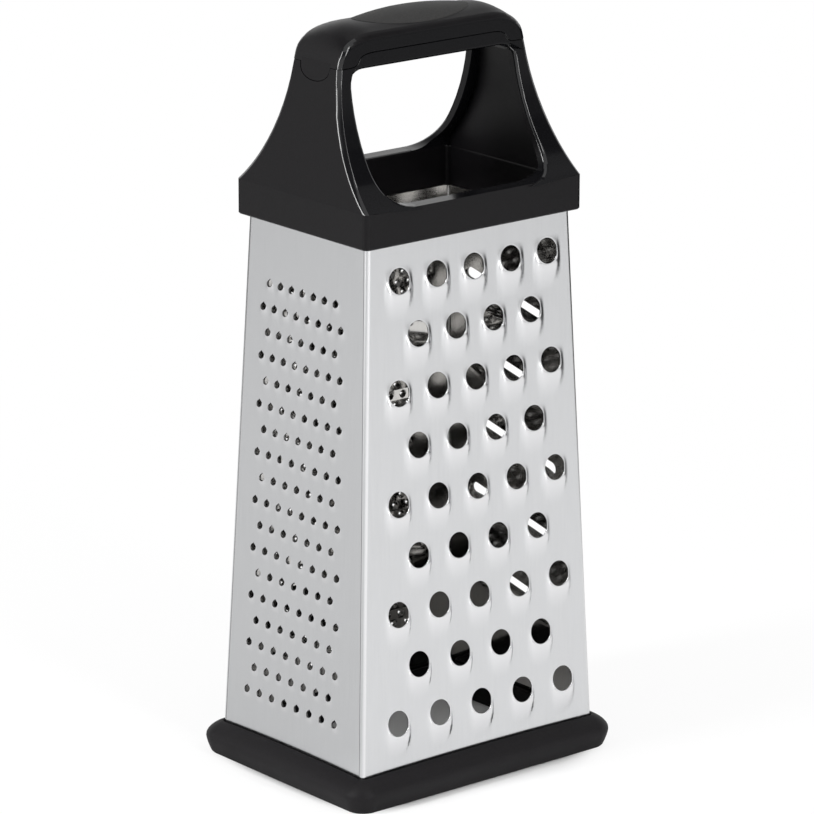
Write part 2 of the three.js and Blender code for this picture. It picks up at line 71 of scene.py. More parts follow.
class Side(Enum):
    """Which way a steel face looks, as a turn about the upright axis in degrees."""

    FRONT = 0.0
    RIGHT = 90.0
    BACK = 180.0
    LEFT = -90.0


def smooth_step(low: float, high: float, value: float) -> float:
    """Eases from 0 at low to 1 at high.

    Args:
        low: Value that gives 0.
        high: Value that gives 1.
        value: The value to ease.

    Returns:
        A share from 0 to 1.
    """
    share = min(1.0, max(0.0, (value - low) / (high - low)))
    return share * share * (3.0 - 2.0 * share)


def curve(start: Flat, control: Flat, end: Flat, steps: int) -> list[Flat]:
    """Points of a quadratic curve, without its first point.

    Args:
        start: Where the curve leaves.
        control: The corner that it rounds.
        end: Where it arrives.
        steps: How many points it gets.

    Returns:
        The points, the last of them at end.
    """
    points = []
    for step in range(1, steps + 1):
        t = step / steps
        weights = ((1.0 - t) ** 2, 2.0 * t * (1.0 - t), t * t)
        points.append(tuple(sum(w * p[axis] for w, p in zip(weights, (start, control, end))) for axis in (0, 1)))
    return points


def clear_bench() -> None:
    """Leaves edit mode and deselects everything."""
    if bpy.context.mode != "OBJECT":
        bpy.ops.object.mode_set(mode="OBJECT")
    bpy.ops.object.select_all(action="DESELECT")


class Workpiece:
    """One mesh on the bench, shaped in millimetres with Blender's modelling operators."""

    def __init__(self, shape: bpy.types.Object) -> None:
        """Takes hold of a mesh object."""
        self.shape = shape

    @classmethod
    def circle(cls, name: str, radius: float, points: int) -> "Workpiece":
        """Starts from an open circle.

        Args:
            name: Name of the piece.
            radius: Radius of the circle.
            points: Number of its points, the first of them straight up.

        Returns:
            The new workpiece.
        """
        clear_bench()
        bpy.ops.mesh.primitive_circle_add(vertices=points, radius=radius, fill_type="NOTHING")
        return cls._named(name)

    @classmethod
    def line(cls, name: str, points: Sequence[Point], closed: bool) -> "Workpiece":
        """Draws a line by extruding one point from place to place.

        Args:
            name: Name of the piece.
            points: The places in order.
            closed: Whether the last point joins the first.

        Returns:
            The new workpiece.
        """
        clear_bench()
        bpy.ops.mesh.primitive_plane_add(size=1.0)
        work = cls._named(name)
        with work.edit():
            bpy.ops.mesh.select_all(action="SELECT")
            bpy.ops.mesh.merge(type="CENTER")
            bpy.ops.transform.translate(value=points[0])
            for start, end in zip(points, points[1:]):
                step = tuple(b - a for a, b in zip(start, end))
                bpy.ops.mesh.extrude_vertices_move(TRANSFORM_OT_translate={"value": step})
            if closed:
                work.pick(Pick.POINTS, lambda point: len(point.link_edges) == 1)
                bpy.ops.mesh.edge_face_add()
        return work

    @classmethod
    def panel(cls, name: str, points: Sequence[Point]) -> "Workpiece":
        """Draws a closed line and fills it with one face.

        Args:
            name: Name of the piece.
            points: Corners in order.

        Returns:
            The new workpiece.
        """
        work = cls.line(name, points, closed=True)
        with work.edit():
            bpy.ops.mesh.select_all(action="SELECT")
            bpy.ops.mesh.edge_face_add()
        return work

    @classmethod
    def slab(cls, name: str, points: Sequence[Point], depth: Point) -> "Workpiece":
        """Draws a filled outline and extrudes it into a block.

        Args:
            name: Name of the piece.
            points: Corners of the outline in order.
            depth: How far, and which way, the outline is drawn out.

        Returns:
            The new workpiece, with its faces outwards.
        """
        work = cls.panel(name, points)
        with work.edit():
            bpy.ops.mesh.select_all(action="SELECT")
            bpy.ops.mesh.extrude_region_move(TRANSFORM_OT_translate={"value": depth})
            bpy.ops.mesh.select_all(action="SELECT")
            bpy.ops.mesh.normals_make_consistent(inside=False)
        return work

    @classmethod
    def loft(cls, name: str, sections: Sequence[Sequence[Point]]) -> "Workpiece":
        """Extrudes one closed section through others with the same number of points.

        Args:
            name: Name of the piece.
            sections: The sections in order, each a closed line.

        Returns:
            The new workpiece, closed at both ends.
        """
        work = cls.line(name, sections[0], closed=True)
        with work.edit():
            bpy.ops.mesh.select_all(action="SELECT")
            for below, above in zip(sections, sections[1:]):
                bpy.ops.mesh.extrude_edges_move(TRANSFORM_OT_translate={"value": (0.0, 0.0, 0.0)})
                work._settle(below, above)
            for end in (sections[0], sections[-1]):
                corners = [Vector(corner) for corner in end]
                work.pick(Pick.EDGES, lambda edge: edge.is_boundary and all(
                    min((point.co - corner).length for corner in corners) < TOUCH for point in edge.verts))
                bpy.ops.mesh.edge_face_add()
            bpy.ops.mesh.select_all(action="SELECT")
            bpy.ops.mesh.normals_make_consistent(inside=False)
        return work

    @classmethod
    def sweep(cls, name: str, section: Sequence[Flat], half: Flat, inset: float, corner_steps: int,
              side_steps: int) -> "Workpiece":
        """Carries a closed section round a rectangle by extruding its sides and spinning its corners.

        Args:
            name: Name of the piece.
            section: Points as (distance outwards from the rectangle, height).
            half: Half width and half depth of the rectangle.
            inset: How far inside the rectangle the corners' centres lie.
            corner_steps: Steps in each quarter turn.
            side_steps: Steps along each side.

        Returns:
            The new workpiece, closed on itself.
        """
        wide, deep = half[0] - inset, half[1] - inset
        work = cls.line(name, [(half[0] + out, -deep, height) for out, height in section], closed=True)
        runs = (((0.0, 1.0, 0.0), deep, (wide, deep)), ((-1.0, 0.0, 0.0), wide, (-wide, deep)),
                ((0.0, -1.0, 0.0), deep, (-wide, -deep)), ((1.0, 0.0, 0.0), wide, (wide, -deep)))
        with work.edit():
            bpy.ops.mesh.select_all(action="SELECT")
            for way, reach, centre in runs:
                step = tuple(2.0 * reach / side_steps * part for part in way)
                for _ in range(side_steps):
                    bpy.ops.mesh.extrude_edges_move(TRANSFORM_OT_translate={"value": step})
                bpy.ops.mesh.spin(steps=corner_steps, angle=-math.pi / 2.0, center=(*centre, 0.0), axis=(0.0, 0.0, 1.0))
            bpy.ops.mesh.select_all(action="SELECT")
            bpy.ops.mesh.remove_doubles(threshold=WELD)
            bpy.ops.mesh.normals_make_consistent(inside=False)
        return work

    @classmethod
    def _named(cls, name: str) -> "Workpiece":
        """Names the primitive that was just added.

        Args:
            name: Name of the piece.

        Returns:
            The new workpiece.
        """
        shape = bpy.context.object
        shape.name = shape.data.name = name
        return cls(shape)

    @contextmanager
    def edit(self) -> Iterator[None]:
        """Holds this piece alone in edit mode.

        Yields:
            Nothing, while the piece is in edit mode.
        """
        self.hold()
        bpy.ops.object.mode_set(mode="EDIT")
        bpy.context.tool_settings.mesh_select_mode = Pick.POINTS.value
        yield
        bpy.ops.object.mode_set(mode="OBJECT")

    def hold(self) -> None:
        """Selects this piece alone and makes it active."""
        clear_bench()
        self.shape.select_set(True)
        bpy.context.view_layer.objects.active = self.shape

    def pick(self, kind: Pick, wanted: Callable[..., bool]) -> None:
        """Selects points, edges or faces in edit mode.

        Args:
            kind: What is selected.
            wanted: Says of each one whether it is selected.
        """
        bpy.context.tool_settings.mesh_select_mode = kind.value
        bpy.ops.mesh.select_all(action="DESELECT")
        mesh = bmesh.from_edit_mesh(self.shape.data)
        mesh.normal_update()
        parts = {Pick.POINTS: mesh.verts, Pick.EDGES: mesh.edges, Pick.FACES: mesh.faces}[kind]
        for part in [part for part in parts if wanted(part)]:
            part.select_set(True)
        mesh.select_flush_mode()
        bmesh.update_edit_mesh(self.shape.data)

    def _settle(self, below: Sequence[Point], above: Sequence[Point]) -> None:
        """Moves each freshly extruded point from its old place to its new one.

        Args:
            below: Where the points were extruded.
            above: Where they go, in the same order.
        """
        mesh = bmesh.from_edit_mesh(self.shape.data)
        mesh.verts.index_update()
        fresh = {point.index: point.co.copy() for point in mesh.verts if point.select}
        order = [min(fresh, key=lambda index: (fresh[index] - Vector(place)).length) for place in below]
        for index, start, end in zip(order, below, above):
            self.pick(Pick.POINTS, lambda point: point.index == index)
            bpy.ops.transform.translate(value=tuple(b - a for a, b in zip(start, end)))
        self.pick(Pick.POINTS, lambda point: point.index in fresh)

    def grow(self, start: float, end: float, lift: float = 0.0) -> None:
        """Extrudes the selected ring about the origin from one radius to another.

        Args:
            start: Radius of the selected ring.
            end: Radius of the new ring.
            lift: How far the new ring rises.
        """
        bpy.ops.mesh.extrude_edges_move(TRANSFORM_OT_translate={"value": (0.0, 0.0, lift)})
        bpy.ops.transform.resize(value=(end / start, end / start, 1.0), center_override=(0.0, 0.0, 0.0))

    def border(self, width: float, above: float, below: float, rings: int) -> None:
        """Draws the selected ring out to a rectangle and divides the sheet between them, in edit mode.

        Args:
            width: Width of the rectangle.
            above: Its reach above the origin.
            below: Its reach below the origin.
            rings: Rings of faces between the punch and the rectangle.
        """
        bpy.ops.mesh.extrude_edges_move(TRANSFORM_OT_translate={"value": (0.0, 0.0, 0.0)})
        mesh = bmesh.from_edit_mesh(self.shape.data)
        mesh.verts.index_update()
        fresh = sorted((math.atan2(point.co.y, point.co.x), point.index, point.co.copy())
                       for point in mesh.verts if point.select)
        first = max(range(len(fresh)), key=lambda step: fresh[step][2].x / width + fresh[step][2].y / (2.0 * above))
        half = width / 2.0
        corners = ((half, above), (-half, above), (-half, -below), (half, -below), (half, above))
        for step in range(len(fresh)):
            _, index, start = fresh[(first + step) % len(fresh)]
            side, share = divmod(4.0 * step / len(fresh), 1.0)
            near, far = corners[int(side)], corners[int(side) + 1]
            end = Vector((near[0] + (far[0] - near[0]) * share, near[1] + (far[1] - near[1]) * share, 0.0))
            self.pick(Pick.POINTS, lambda point: point.index == index)
            bpy.ops.transform.translate(value=end - start)

        def on_edge(place: Vector) -> bool:
            """Says whether a point lies on the rectangle."""
            return min(half - abs(place.x), above - place.y, below + place.y) < TOUCH

        if rings > 1:
            self.pick(Pick.EDGES, lambda edge: on_edge(edge.verts[0].co) != on_edge(edge.verts[1].co))
            bpy.ops.mesh.subdivide(number_cuts=rings - 1)

    def press(self, rise: float, share: Callable[[Vector], float]) -> None:
        """Presses part of the sheet outwards and notes the share that the steel paints in as a highlight.

        Args:
            rise: Full height of the pressing.
            share: Share of that height for each point.
        """
        shares = self.mark(share)
        group = self.shape.vertex_groups.new(name="pressing")
        for index, value in enumerate(shares):
            group.add([index], value, "REPLACE")
        self.modify("DISPLACE", direction="Z", mid_level=0.0, strength=rise, vertex_group=group.name)
        self.shape.vertex_groups.remove(self.shape.vertex_groups["pressing"])

    def mark(self, share: Callable[[Vector], float]) -> list[float]:
        """Notes on each point how far the sheet was worked there, which the steel's finish paints in as a highlight.

        Args:
            share: Share from 0 to 1 for each point.

        Returns:
            The shares in the points' order.
        """
        shares = [share(point.co) for point in self.shape.data.vertices]
        # This share is painted into the steel's colour as a highlight.
        self.shape.data.attributes.new("pressed", "FLOAT", "POINT").data.foreach_set("value", shares)
        return shares

    def modify(self, kind: str, **settings: object) -> None:
        """Adds one modifier and applies it.

        Args:
            kind: Blender's name for the modifier.
            settings: Its settings.
        """
        self.hold()
        tool = self.shape.modifiers.new(kind.lower(), kind)
        for key, value in settings.items():
            setattr(tool, key, value)
        bpy.ops.object.modifier_apply(modifier=tool.name)

    def repeat(self, count: int, step: Point) -> None:
        """Sets copies of the piece in a row.

        Args:
            count: How many there are with the first.
            step: Move from one to the next.
        """
        self.modify("ARRAY", use_relative_offset=False, use_constant_offset=True, constant_offset_displace=step,
                    count=count)

    def copy(self) -> "Workpiece":
        """Copies the piece.

        Returns:
            A second piece with a mesh of its own.
        """
        self.hold()
        bpy.ops.object.duplicate(linked=False)
        return Workpiece(bpy.context.object)

    def place(self, matrix: Matrix) -> None:
        """Moves the piece and writes its new place into its mesh.

        Args:
            matrix: The move.
        """
        self.hold()
        self.shape.matrix_world = matrix
        bpy.ops.object.transform_apply(location=True, rotation=True, scale=True)

    def join(self, others: Sequence["Workpiece"]) -> None:
        """Joins other pieces to this one.

        Args:
            others: The pieces, which are used up.
        """
        self.hold()
        for other in others:
            other.shape.select_set(True)
        bpy.ops.object.join()

    def cut(self, tool: "Workpiece") -> None:
        """Takes another piece's volume out of this one and puts that piece away."""
        self.modify("BOOLEAN", operation="DIFFERENCE", object=tool.shape, solver="EXACT")
        tool.discard()

    def discard(self) -> None:
        """Puts the piece away."""
        bpy.data.objects.remove(self.shape, do_unlink=True)

    def soften(self, degrees: float) -> None:
        """Shades the piece smooth across edges flatter than an angle."""
        self.hold()
        bpy.ops.object.shade_smooth_by_angle(angle=math.radians(degrees))

    def give(self, slot: int, wanted: Callable[[bmesh.types.BMFace], bool]) -> None:
        """Gives the wanted faces the finish of another slot.

        Args:
            slot: Place of the finish in the list.
            wanted: Says of each face whether it gets it.
        """
        with self.edit():
            self.pick(Pick.FACES, wanted)
            self.shape.active_material_index = slot
            bpy.ops.object.material_slot_assign()

    def flatten(self) -> None:
        """Keeps large faces flat where they meet rounded edges."""
        self.modify("WEIGHTED_NORMAL", keep_sharp=True, weight=80)

    def finish(self, node: str, slot: str, *finishes: bpy.types.Material) -> bpy.types.Object:
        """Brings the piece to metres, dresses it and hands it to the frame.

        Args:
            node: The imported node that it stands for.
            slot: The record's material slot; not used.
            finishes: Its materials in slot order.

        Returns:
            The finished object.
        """
        self.place(Matrix.Scale(MM, 4))
        for index, finish in enumerate(finishes):
            if index < len(self.shape.data.materials):
                self.shape.data.materials[index] = finish
            else:
                self.shape.data.materials.append(finish)
        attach(self.shape, BODY)
        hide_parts(node)
        LOG.info("%s: %d faces", self.shape.name, len(self.shape.data.polygons))
        return self.shape


class Wiring:
    """A node tree, with short ways to add nodes and link them."""

    def __init__(self, tree: bpy.types.NodeTree) -> None:
        """Takes hold of a node tree."""
        self.tree = tree

    def node(self, kind: str, **values: object) -> bpy.types.Node:
        """Adds a node and sets its inputs by name.

        Args:
            kind: Blender's name for the node.
            values: Input values, with spaces written as underscores.

        Returns:
            The new node.
        """
        node = self.tree.nodes.new(kind)
        for label, value in values.items():
            node.inputs[label.replace("_", " ")].default_value = value
        return node

    def link(self, start: bpy.types.NodeSocket, end: bpy.types.NodeSocket) -> None:
        """Links two sockets."""
        self.tree.links.new(start, end)

    def reckon(self, operation: str, first: bpy.types.NodeSocket,
               second: bpy.types.NodeSocket | float) -> bpy.types.NodeSocket:
        """Works out one value from two.

        Args:
            operation: Blender's name for the sum.
            first: Socket that gives the first value.
            second: The second value or the socket that gives it.

        Returns:
            Socket that gives the result.
        """
        node = self.node("ShaderNodeMath")
        node.operation = operation
        self.link(first, node.inputs[0])
        if isinstance(second, float):
            node.inputs[1].default_value = second
        else:
            self.link(second, node.inputs[1])
        return node.outputs["Value"]


class Effects:
    """Shader node groups that several finishes share."""

    @staticmethod
    def group(name: str, inputs: dict[str, float], outputs: Sequence[str]) -> bpy.types.ShaderNodeTree:
        """Starts a group with a vector input, named values and named outputs.

        Args:
            name: Name of the group.
            inputs: Value inputs and what they hold at first.
            outputs: Value outputs.

        Returns:
            The group's tree, with its input and output nodes.
        """
        tree = bpy.data.node_groups.new(name, "ShaderNodeTree")
        tree.interface.new_socket("Place", in_out="INPUT", socket_type="NodeSocketVector")
        for label, value in inputs.items():
            tree.interface.new_socket(label, in_out="INPUT", socket_type="NodeSocketFloat").default_value = value
        for label in outputs:
            tree.interface.new_socket(label, in_out="OUTPUT", socket_type="NodeSocketFloat")
        tree.nodes.new("NodeGroupInput").name = "in"
        tree.nodes.new("NodeGroupOutput").name = "out"
        return tree

    @classmethod
    def handling(cls) -> bpy.types.ShaderNodeTree:
        """Soft cloudy change of gloss where hands and cloths have been.

        Returns:
            The group's tree, built once.
        """
        tree = bpy.data.node_groups.get("handling")
        if tree is None:
            tree = cls.group("handling", {"Scale": 30.0, "Low": 0.2, "High": 0.4}, ("Gloss",))
            wires, ends = Wiring(tree), tree.nodes["in"].outputs
            cloud = wires.node("ShaderNodeTexNoise", Detail=5.0, Roughness=0.62)
            spread = wires.node("ShaderNodeMapRange", From_Min=0.3, From_Max=0.7)
            wires.link(ends["Place"], cloud.inputs["Vector"])
            wires.link(ends["Scale"], cloud.inputs["Scale"])
            wires.link(cloud.outputs["Fac"], spread.inputs["Value"])
            wires.link(ends["Low"], spread.inputs["To Min"])
            wires.link(ends["High"], spread.inputs["To Max"])
            wires.link(spread.outputs["Result"], tree.nodes["out"].inputs["Gloss"])
        return tree

    @classmethod
    def grain(cls) -> bpy.types.ShaderNodeTree:
        """Fine moulded grain, as a height and as a shade for the colour.

        Returns:
            The group's tree, built once.
        """
        tree = bpy.data.node_groups.get("grain")
        if tree is None:
            tree = cls.group("grain", {"Scale": 2500.0}, ("Height", "Shade"))
            wires, ends, out = Wiring(tree), tree.nodes["in"].outputs, tree.nodes["out"].inputs
            cells = wires.node("ShaderNodeTexVoronoi")
            cells.feature = "SMOOTH_F1"
            dust = wires.node("ShaderNodeTexNoise", Detail=3.0)
            shade = wires.node("ShaderNodeMapRange", From_Min=0.35, From_Max=0.65)
            for texture in (cells, dust):
                wires.link(ends["Place"], texture.inputs["Vector"])
                wires.link(ends["Scale"], texture.inputs["Scale"])
            low_cells = wires.reckon("MULTIPLY", cells.outputs["Distance"], 0.6)
            wires.link(wires.reckon("ADD", low_cells, dust.outputs["Fac"]), out["Height"])
            wires.link(dust.outputs["Fac"], shade.inputs["Value"])
            wires.link(shade.outputs["Result"], out["Shade"])
        return tree


class Bench(Wiring):
    """A material's node tree, with the few steps that every finish takes."""

    def __init__(self, name: str) -> None:
        """Starts a material with a Principled shader and the piece's own coordinates.

        Args:
            name: Name of the material.
        """
        self.material = bpy.data.materials.new(name)
        self.material.use_nodes = True
        super().__init__(self.material.node_tree)
        self.shader = self.tree.nodes["Principled BSDF"]
        self.place = self.node("ShaderNodeTexCoord").outputs["Object"]

    def effect(self, tree: bpy.types.ShaderNodeTree, **values: float) -> bpy.types.Node:
        """Places a shared effect with its own values, on the piece's coordinates.

        Args:
            tree: The effect's node group.
            values: Its input values.

        Returns:
            The group node.
        """
        node = self.node("ShaderNodeGroup")
        node.node_tree = tree
        for label, value in values.items():
            node.inputs[label].default_value = value
        self.link(self.place, node.inputs["Place"])
        return node

    def bump(self, height: bpy.types.NodeSocket, strength: float, distance: float) -> None:
        """Feeds a height to the shader's normal.

        Args:
            height: Socket that gives the height.
            strength: Strength of the bump.
            distance: Its depth in metres.
        """
        node = self.node("ShaderNodeBump", Strength=strength, Distance=distance)
        self.link(height, node.inputs["Height"])
        self.link(node.outputs["Normal"], self.shader.inputs["Normal"])

    def blend(self, share: bpy.types.NodeSocket, dark: Tone, light: Tone) -> bpy.types.Node:
        """Mixes two tones.

        Args:
            share: Socket that gives the share of the light tone.
            dark: Tone at 0.
            light: Tone at 1.

        Returns:
            The mixing node.
        """
        mix = self.node("ShaderNodeMix")
        mix.data_type = "RGBA"
        mix.inputs[MIX_DARK].default_value = (*dark, 1.0)
        mix.inputs[MIX_LIGHT].default_value = (*light, 1.0)
        self.link(share, mix.inputs[0])
        return mix

    def tint(self, share: bpy.types.NodeSocket, dark: Tone, light: Tone) -> None:
        """Runs the base colour between two tones.

        Args:
            share: Socket that gives the share of the light tone.
            dark: Tone at 0.
            light: Tone at 1.
        """
        self.link(self.blend(share, dark, light).outputs[MIX_RESULT], self.shader.inputs["Base Color"])


@dataclass(frozen=True)
class SatinSteel:
    """Rolled stainless sheet with a soft shine and faint upright polishing lines, and a painted highlight on pressed
    lips and folds.
    """

    name: str
    dark: Tone
    light: Tone
    # Tone of the painted highlight that the pressed share mixes in on lips and folds.
    drawn: Tone
    low_gloss: float
    high_gloss: float
    cloud_scale: float = 45.0
    line_scale: float = 1600.0
    line_stretch: float = 0.02
    line_strength: float = 0.06
    line_depth: float = 0.00004

    def material(self) -> bpy.types.Material:
        """Builds the finish.

        Returns:
            The material.
        """
        bench = Bench(self.name)
        bench.shader.inputs["Metallic"].default_value = 1.0
        gloss = bench.effect(Effects.handling(), Scale=self.cloud_scale, Low=self.low_gloss, High=self.high_gloss)
        bench.link(gloss.outputs["Gloss"], bench.shader.inputs["Roughness"])
        stretch = bench.node("ShaderNodeMapping", Scale=(1.0, 1.0, self.line_stretch))
        lines = bench.node("ShaderNodeTexNoise", Scale=self.line_scale, Detail=2.0)
        bench.link(bench.place, stretch.inputs["Vector"])
        bench.link(stretch.outputs["Vector"], lines.inputs["Vector"])
        rolled = bench.blend(lines.outputs["Fac"], self.dark, self.light)
        # Painted highlight: the pressed share brightens the base colour towards the drawn tone on lips and folds.
        pressed = bench.node("ShaderNodeAttribute")
        pressed.attribute_name = "pressed"
        bright = bench.blend(pressed.outputs["Fac"], self.dark, self.drawn)
        bench.link(rolled.outputs[MIX_RESULT], bright.inputs[MIX_DARK])
        bench.link(bright.outputs[MIX_RESULT], bench.shader.inputs["Base Color"])
        bench.bump(lines.outputs["Fac"], self.line_strength, self.line_depth)
        return bench.material


@dataclass(frozen=True)
class Moulding:
    """Black moulded plastic or rubber, from polished to matt."""

    name: str
    dark: Tone
    light: Tone
    low_gloss: float
    high_gloss: float
    grain_scale: float
    grain_depth: float
    shine: float
    cloud_scale: float = 60.0
    grain_strength: float = 0.35

    def material(self) -> bpy.types.Material:
        """Builds the finish.

        Returns:
            The material.
        """
        bench = Bench(self.name)
        bench.shader.inputs["Specular IOR Level"].default_value = self.shine
        gloss = bench.effect(Effects.handling(), Scale=self.cloud_scale, Low=self.low_gloss, High=self.high_gloss)
        bench.link(gloss.outputs["Gloss"], bench.shader.inputs["Roughness"])
        grain = bench.effect(Effects.grain(), Scale=self.grain_scale)
        bench.tint(grain.outputs["Shade"], self.dark, self.light)
        bench.bump(grain.outputs["Height"], self.grain_strength, self.grain_depth)
        return bench.material


# drawn is the tone of the painted highlight on pressed lips and folds.
POLISHED_STEEL = SatinSteel("polished_steel", dark=(0.58, 0.585, 0.595), light=(0.63, 0.635, 0.645),
                            drawn=(0.72, 0.72, 0.73), low_gloss=0.16, high_gloss=0.22)
INNER_STEEL = SatinSteel("inner_steel", dark=(0.52, 0.51, 0.5), light=(0.6, 0.59, 0.57),
                         drawn=(0.6, 0.6, 0.6), low_gloss=0.06, high_gloss=0.11)
CUT_STEEL = SatinSteel("cut_steel", dark=(0.09, 0.088, 0.085), light=(0.14, 0.138, 0.134),
                       drawn=(0.1, 0.1, 0.1), low_gloss=0.4, high_gloss=0.5)
GLOSS_BLACK = Moulding("gloss_black", dark=(0.0036, 0.0036, 0.0042), light=(0.0046, 0.0046, 0.0054),
                       low_gloss=0.1, high_gloss=0.14, grain_scale=1500.0, grain_depth=0.000002, shine=0.1)
EDGE_BLACK = Moulding("edge_black", dark=(0.0036, 0.0036, 0.0042), light=(0.0046, 0.0046, 0.0054),
                      low_gloss=0.08, high_gloss=0.12, grain_scale=1500.0, grain_depth=0.000002, shine=0.55)
SATIN_BLACK = Moulding("satin_black", dark=(0.0032, 0.0028, 0.0034), light=(0.0046, 0.0041, 0.0049),
                       low_gloss=0.34, high_gloss=0.42, grain_scale=1800.0, grain_depth=0.00004, shine=0.17)
FOOT_RUBBER = Moulding("foot_rubber", dark=(0.0048, 0.0041, 0.005), light=(0.0066, 0.0057, 0.0069),
                       low_gloss=0.5, high_gloss=0.6, grain_scale=1400.0, grain_depth=0.00004, shine=0.2)
PALM_RUBBER = Moulding("palm_rubber", dark=(0.02, 0.0197, 0.0193), light=(0.027, 0.0266, 0.026),
                       low_gloss=0.6, high_gloss=0.72, grain_scale=1700.0, grain_depth=0.00005, shine=0.3)


@dataclass(frozen=True)
class Punches:
    """How the punches stand on a steel face: rows counted up from the ring, fanned with the face.

    Each tile of sheet reaches a set distance above its punch's centre. When it is widened, the kept distance to both
    sides of the punch is left as it is.
    """

    rows: int
    columns: int
    row_pitch: float
    first_row: float
    column_pitch: float
    above: float
    kept: float
    shift: float = 0.0
    staggered: bool = True


@dataclass
class SteelFace:
    """One side of the steel body, made of punched tiles between plain margins."""

    name: str
    node: str
    side: Side
    foot_span: float
    head_span: float
    foot_reach: float
    head_reach: float
    punches: Punches
    rounded: bool
    shown: float = 165.0
    ring_top: float = 10.3
    tucked: float = 6.0
    hidden: float = 7.8
    sheet: float = 0.6
    fold: float = 1.4
    fold_steps: int = 6
    # Shares of the fold between which its painted highlight fades out towards the side.
    fold_highlight: Flat = (0.8, 0.4)
    smooth: float = 38.0

    def tile(self) -> Workpiece:
        """Models one punch on its rectangle of sheet."""
        raise NotImplementedError

    @property
    def slope(self) -> float:
        """Length of the face along its lean, from the ring to the collar."""
        return math.hypot(self.shown, self.foot_reach - self.head_reach)

    def half(self, height: float) -> float:
        """Half width of the flat sheet at a height along its lean."""
        return (self.foot_span + (self.head_span - self.foot_span) * height / self.slope) / 2.0 - self.fold

    def build(self, steel: bpy.types.Material, inner: bpy.types.Material,
              cut: bpy.types.Material) -> bpy.types.Object:
        """Builds the face and stands it in its place.

        Args:
            steel: Finish of the sheet's outside.
            inner: Finish of its inside.
            cut: Finish of its cut edges.

        Returns:
            The finished object.
        """
        tile = self.tile()
        parts = self.rows(tile) + self.ends()
        if self.rounded:
            parts += [self.folded_edge(-1.0), self.folded_edge(1.0)]
        tile.discard()
        face = parts[0]
        face.shape.name = face.shape.data.name = self.name
        face.join(parts[1:])
        self.thicken(face)
        face.place(self.stand())
        return face.finish(self.node, "steel", steel, inner, cut)

    def rows(self, tile: Workpiece) -> list[Workpiece]:
        """Repeats the tile into rows and lays a margin at both ends of each.

        Args:
            tile: The punch to repeat.

        Returns:
            The rows and their margins.
        """
        plan, parts = self.punches, []
        for row in range(plan.rows):
            height = plan.first_row + row * plan.row_pitch
            count = plan.columns - (row % 2 if plan.staggered else 0)
            fan = (self.half(height) + self.fold) / (self.half(0.0) + self.fold) if plan.columns > 1 else 1.0
            step = plan.column_pitch * fan
            line = tile.copy()
            self.widen(line, step)
            line.repeat(count, (step, 0.0, 0.0))
            line.place(Matrix.Translation((plan.shift - (count - 1) * step / 2.0, height, 0.0)))
            low, high = height - plan.row_pitch + plan.above, height + plan.above
            ends = (plan.shift - count * step / 2.0, plan.shift + count * step / 2.0)
            parts += [line, self.margin(-1.0, ends[0], low, high), self.margin(1.0, ends[1], low, high)]
        return parts

    def widen(self, tile: Workpiece, width: float) -> None:
        """Stretches only the sheet beside the punch, so that the punch keeps its size.

        Args:
            tile: The tile.
            width: How wide it becomes.
        """
        kept = self.punches.kept
        share = (width / 2.0 - kept) / (self.punches.column_pitch / 2.0 - kept)
        with tile.edit():
            for side in (-1.0, 1.0):
                tile.pick(Pick.POINTS, lambda point: point.co.x * side > kept)
                bpy.ops.transform.resize(value=(share, 1.0, 1.0), center_override=(side * kept, 0.0, 0.0))

    def margin(self, side: float, inner: float, low: float, high: float) -> Workpiece:
        """Plain sheet from the end of a row to the edge of the face.

        Args:
            side: -1 for the left end, 1 for the right end.
            inner: Where the row ends.
            low: Foot of the row.
            high: Head of the row.

        Returns:
            The margin.
        """
        foot, head = side * self.half(low), side * self.half(high)
        corners = ((inner, low, 0.0), (foot, low, 0.0), (head, high, 0.0), (inner, high, 0.0))
        return Workpiece.panel("margin", corners)

    def ends(self) -> list[Workpiece]:
        """Plain sheet below the first row and above the last.

        Returns:
            The lower end and the upper one.
        """
        plan = self.punches
        low = plan.first_row - plan.row_pitch + plan.above
        high = plan.first_row + (plan.rows - 1) * plan.row_pitch + plan.above
        parts = []
        for start, end in ((-self.tucked, low), (high, self.slope + self.hidden)):
            wide, narrow = self.half(start), self.half(end)
            corners = ((-wide, start, 0.0), (wide, start, 0.0), (narrow, end, 0.0), (-narrow, end, 0.0))
            parts.append(Workpiece.panel("end", corners))
        return parts

    def folded_edge(self, side: float) -> Workpiece:
        """Quarter-round fold along one upright edge, with a painted highlight on the part nearest the face.

        Args:
            side: -1 for the left edge, 1 for the right edge.

        Returns:
            The fold.
        """
        start, end = -self.tucked, self.slope + self.hidden
        arc = []
        for step in range(self.fold_steps + 1):
            turn = math.pi / 2.0 * step / self.fold_steps
            out = self.half(start) + self.fold * math.sin(turn)
            arc.append((side * out, start, -self.fold * (1.0 - math.cos(turn))))
        strip = Workpiece.line("fold", arc, closed=False)
        lean = (side * (self.half(end) - self.half(start)), end - start, 0.0)
        with strip.edit():
            bpy.ops.mesh.select_all(action="SELECT")
            bpy.ops.mesh.extrude_edges_move(TRANSFORM_OT_translate={"value": lean})
        # Paints a highlight band into the steel's colour along the part of the fold nearest the face.
        strip.mark(lambda place: smooth_step(*self.fold_highlight, (abs(place.x) - self.half(place.y)) / self.fold))
        return strip

    def thicken(self, face: Workpiece) -> None:
        """Turns every face outwards, welds the tiles and gives the sheet its thickness.

        Args:
            face: The joined face, still lying flat.
        """
        with face.edit():
            bpy.ops.mesh.select_all(action="SELECT")
            bpy.ops.mesh.remove_doubles(threshold=WELD)
            face.pick(Pick.FACES, self.turned_in)
            bpy.ops.mesh.flip_normals()
        for _ in ("outside", "inside", "edge"):
            face.shape.data.materials.append(None)
        face.modify("SOLIDIFY", thickness=self.sheet, offset=-1.0, use_even_offset=False, use_rim=True,
                    material_offset=1, material_offset_rim=2)
        face.soften(self.smooth)

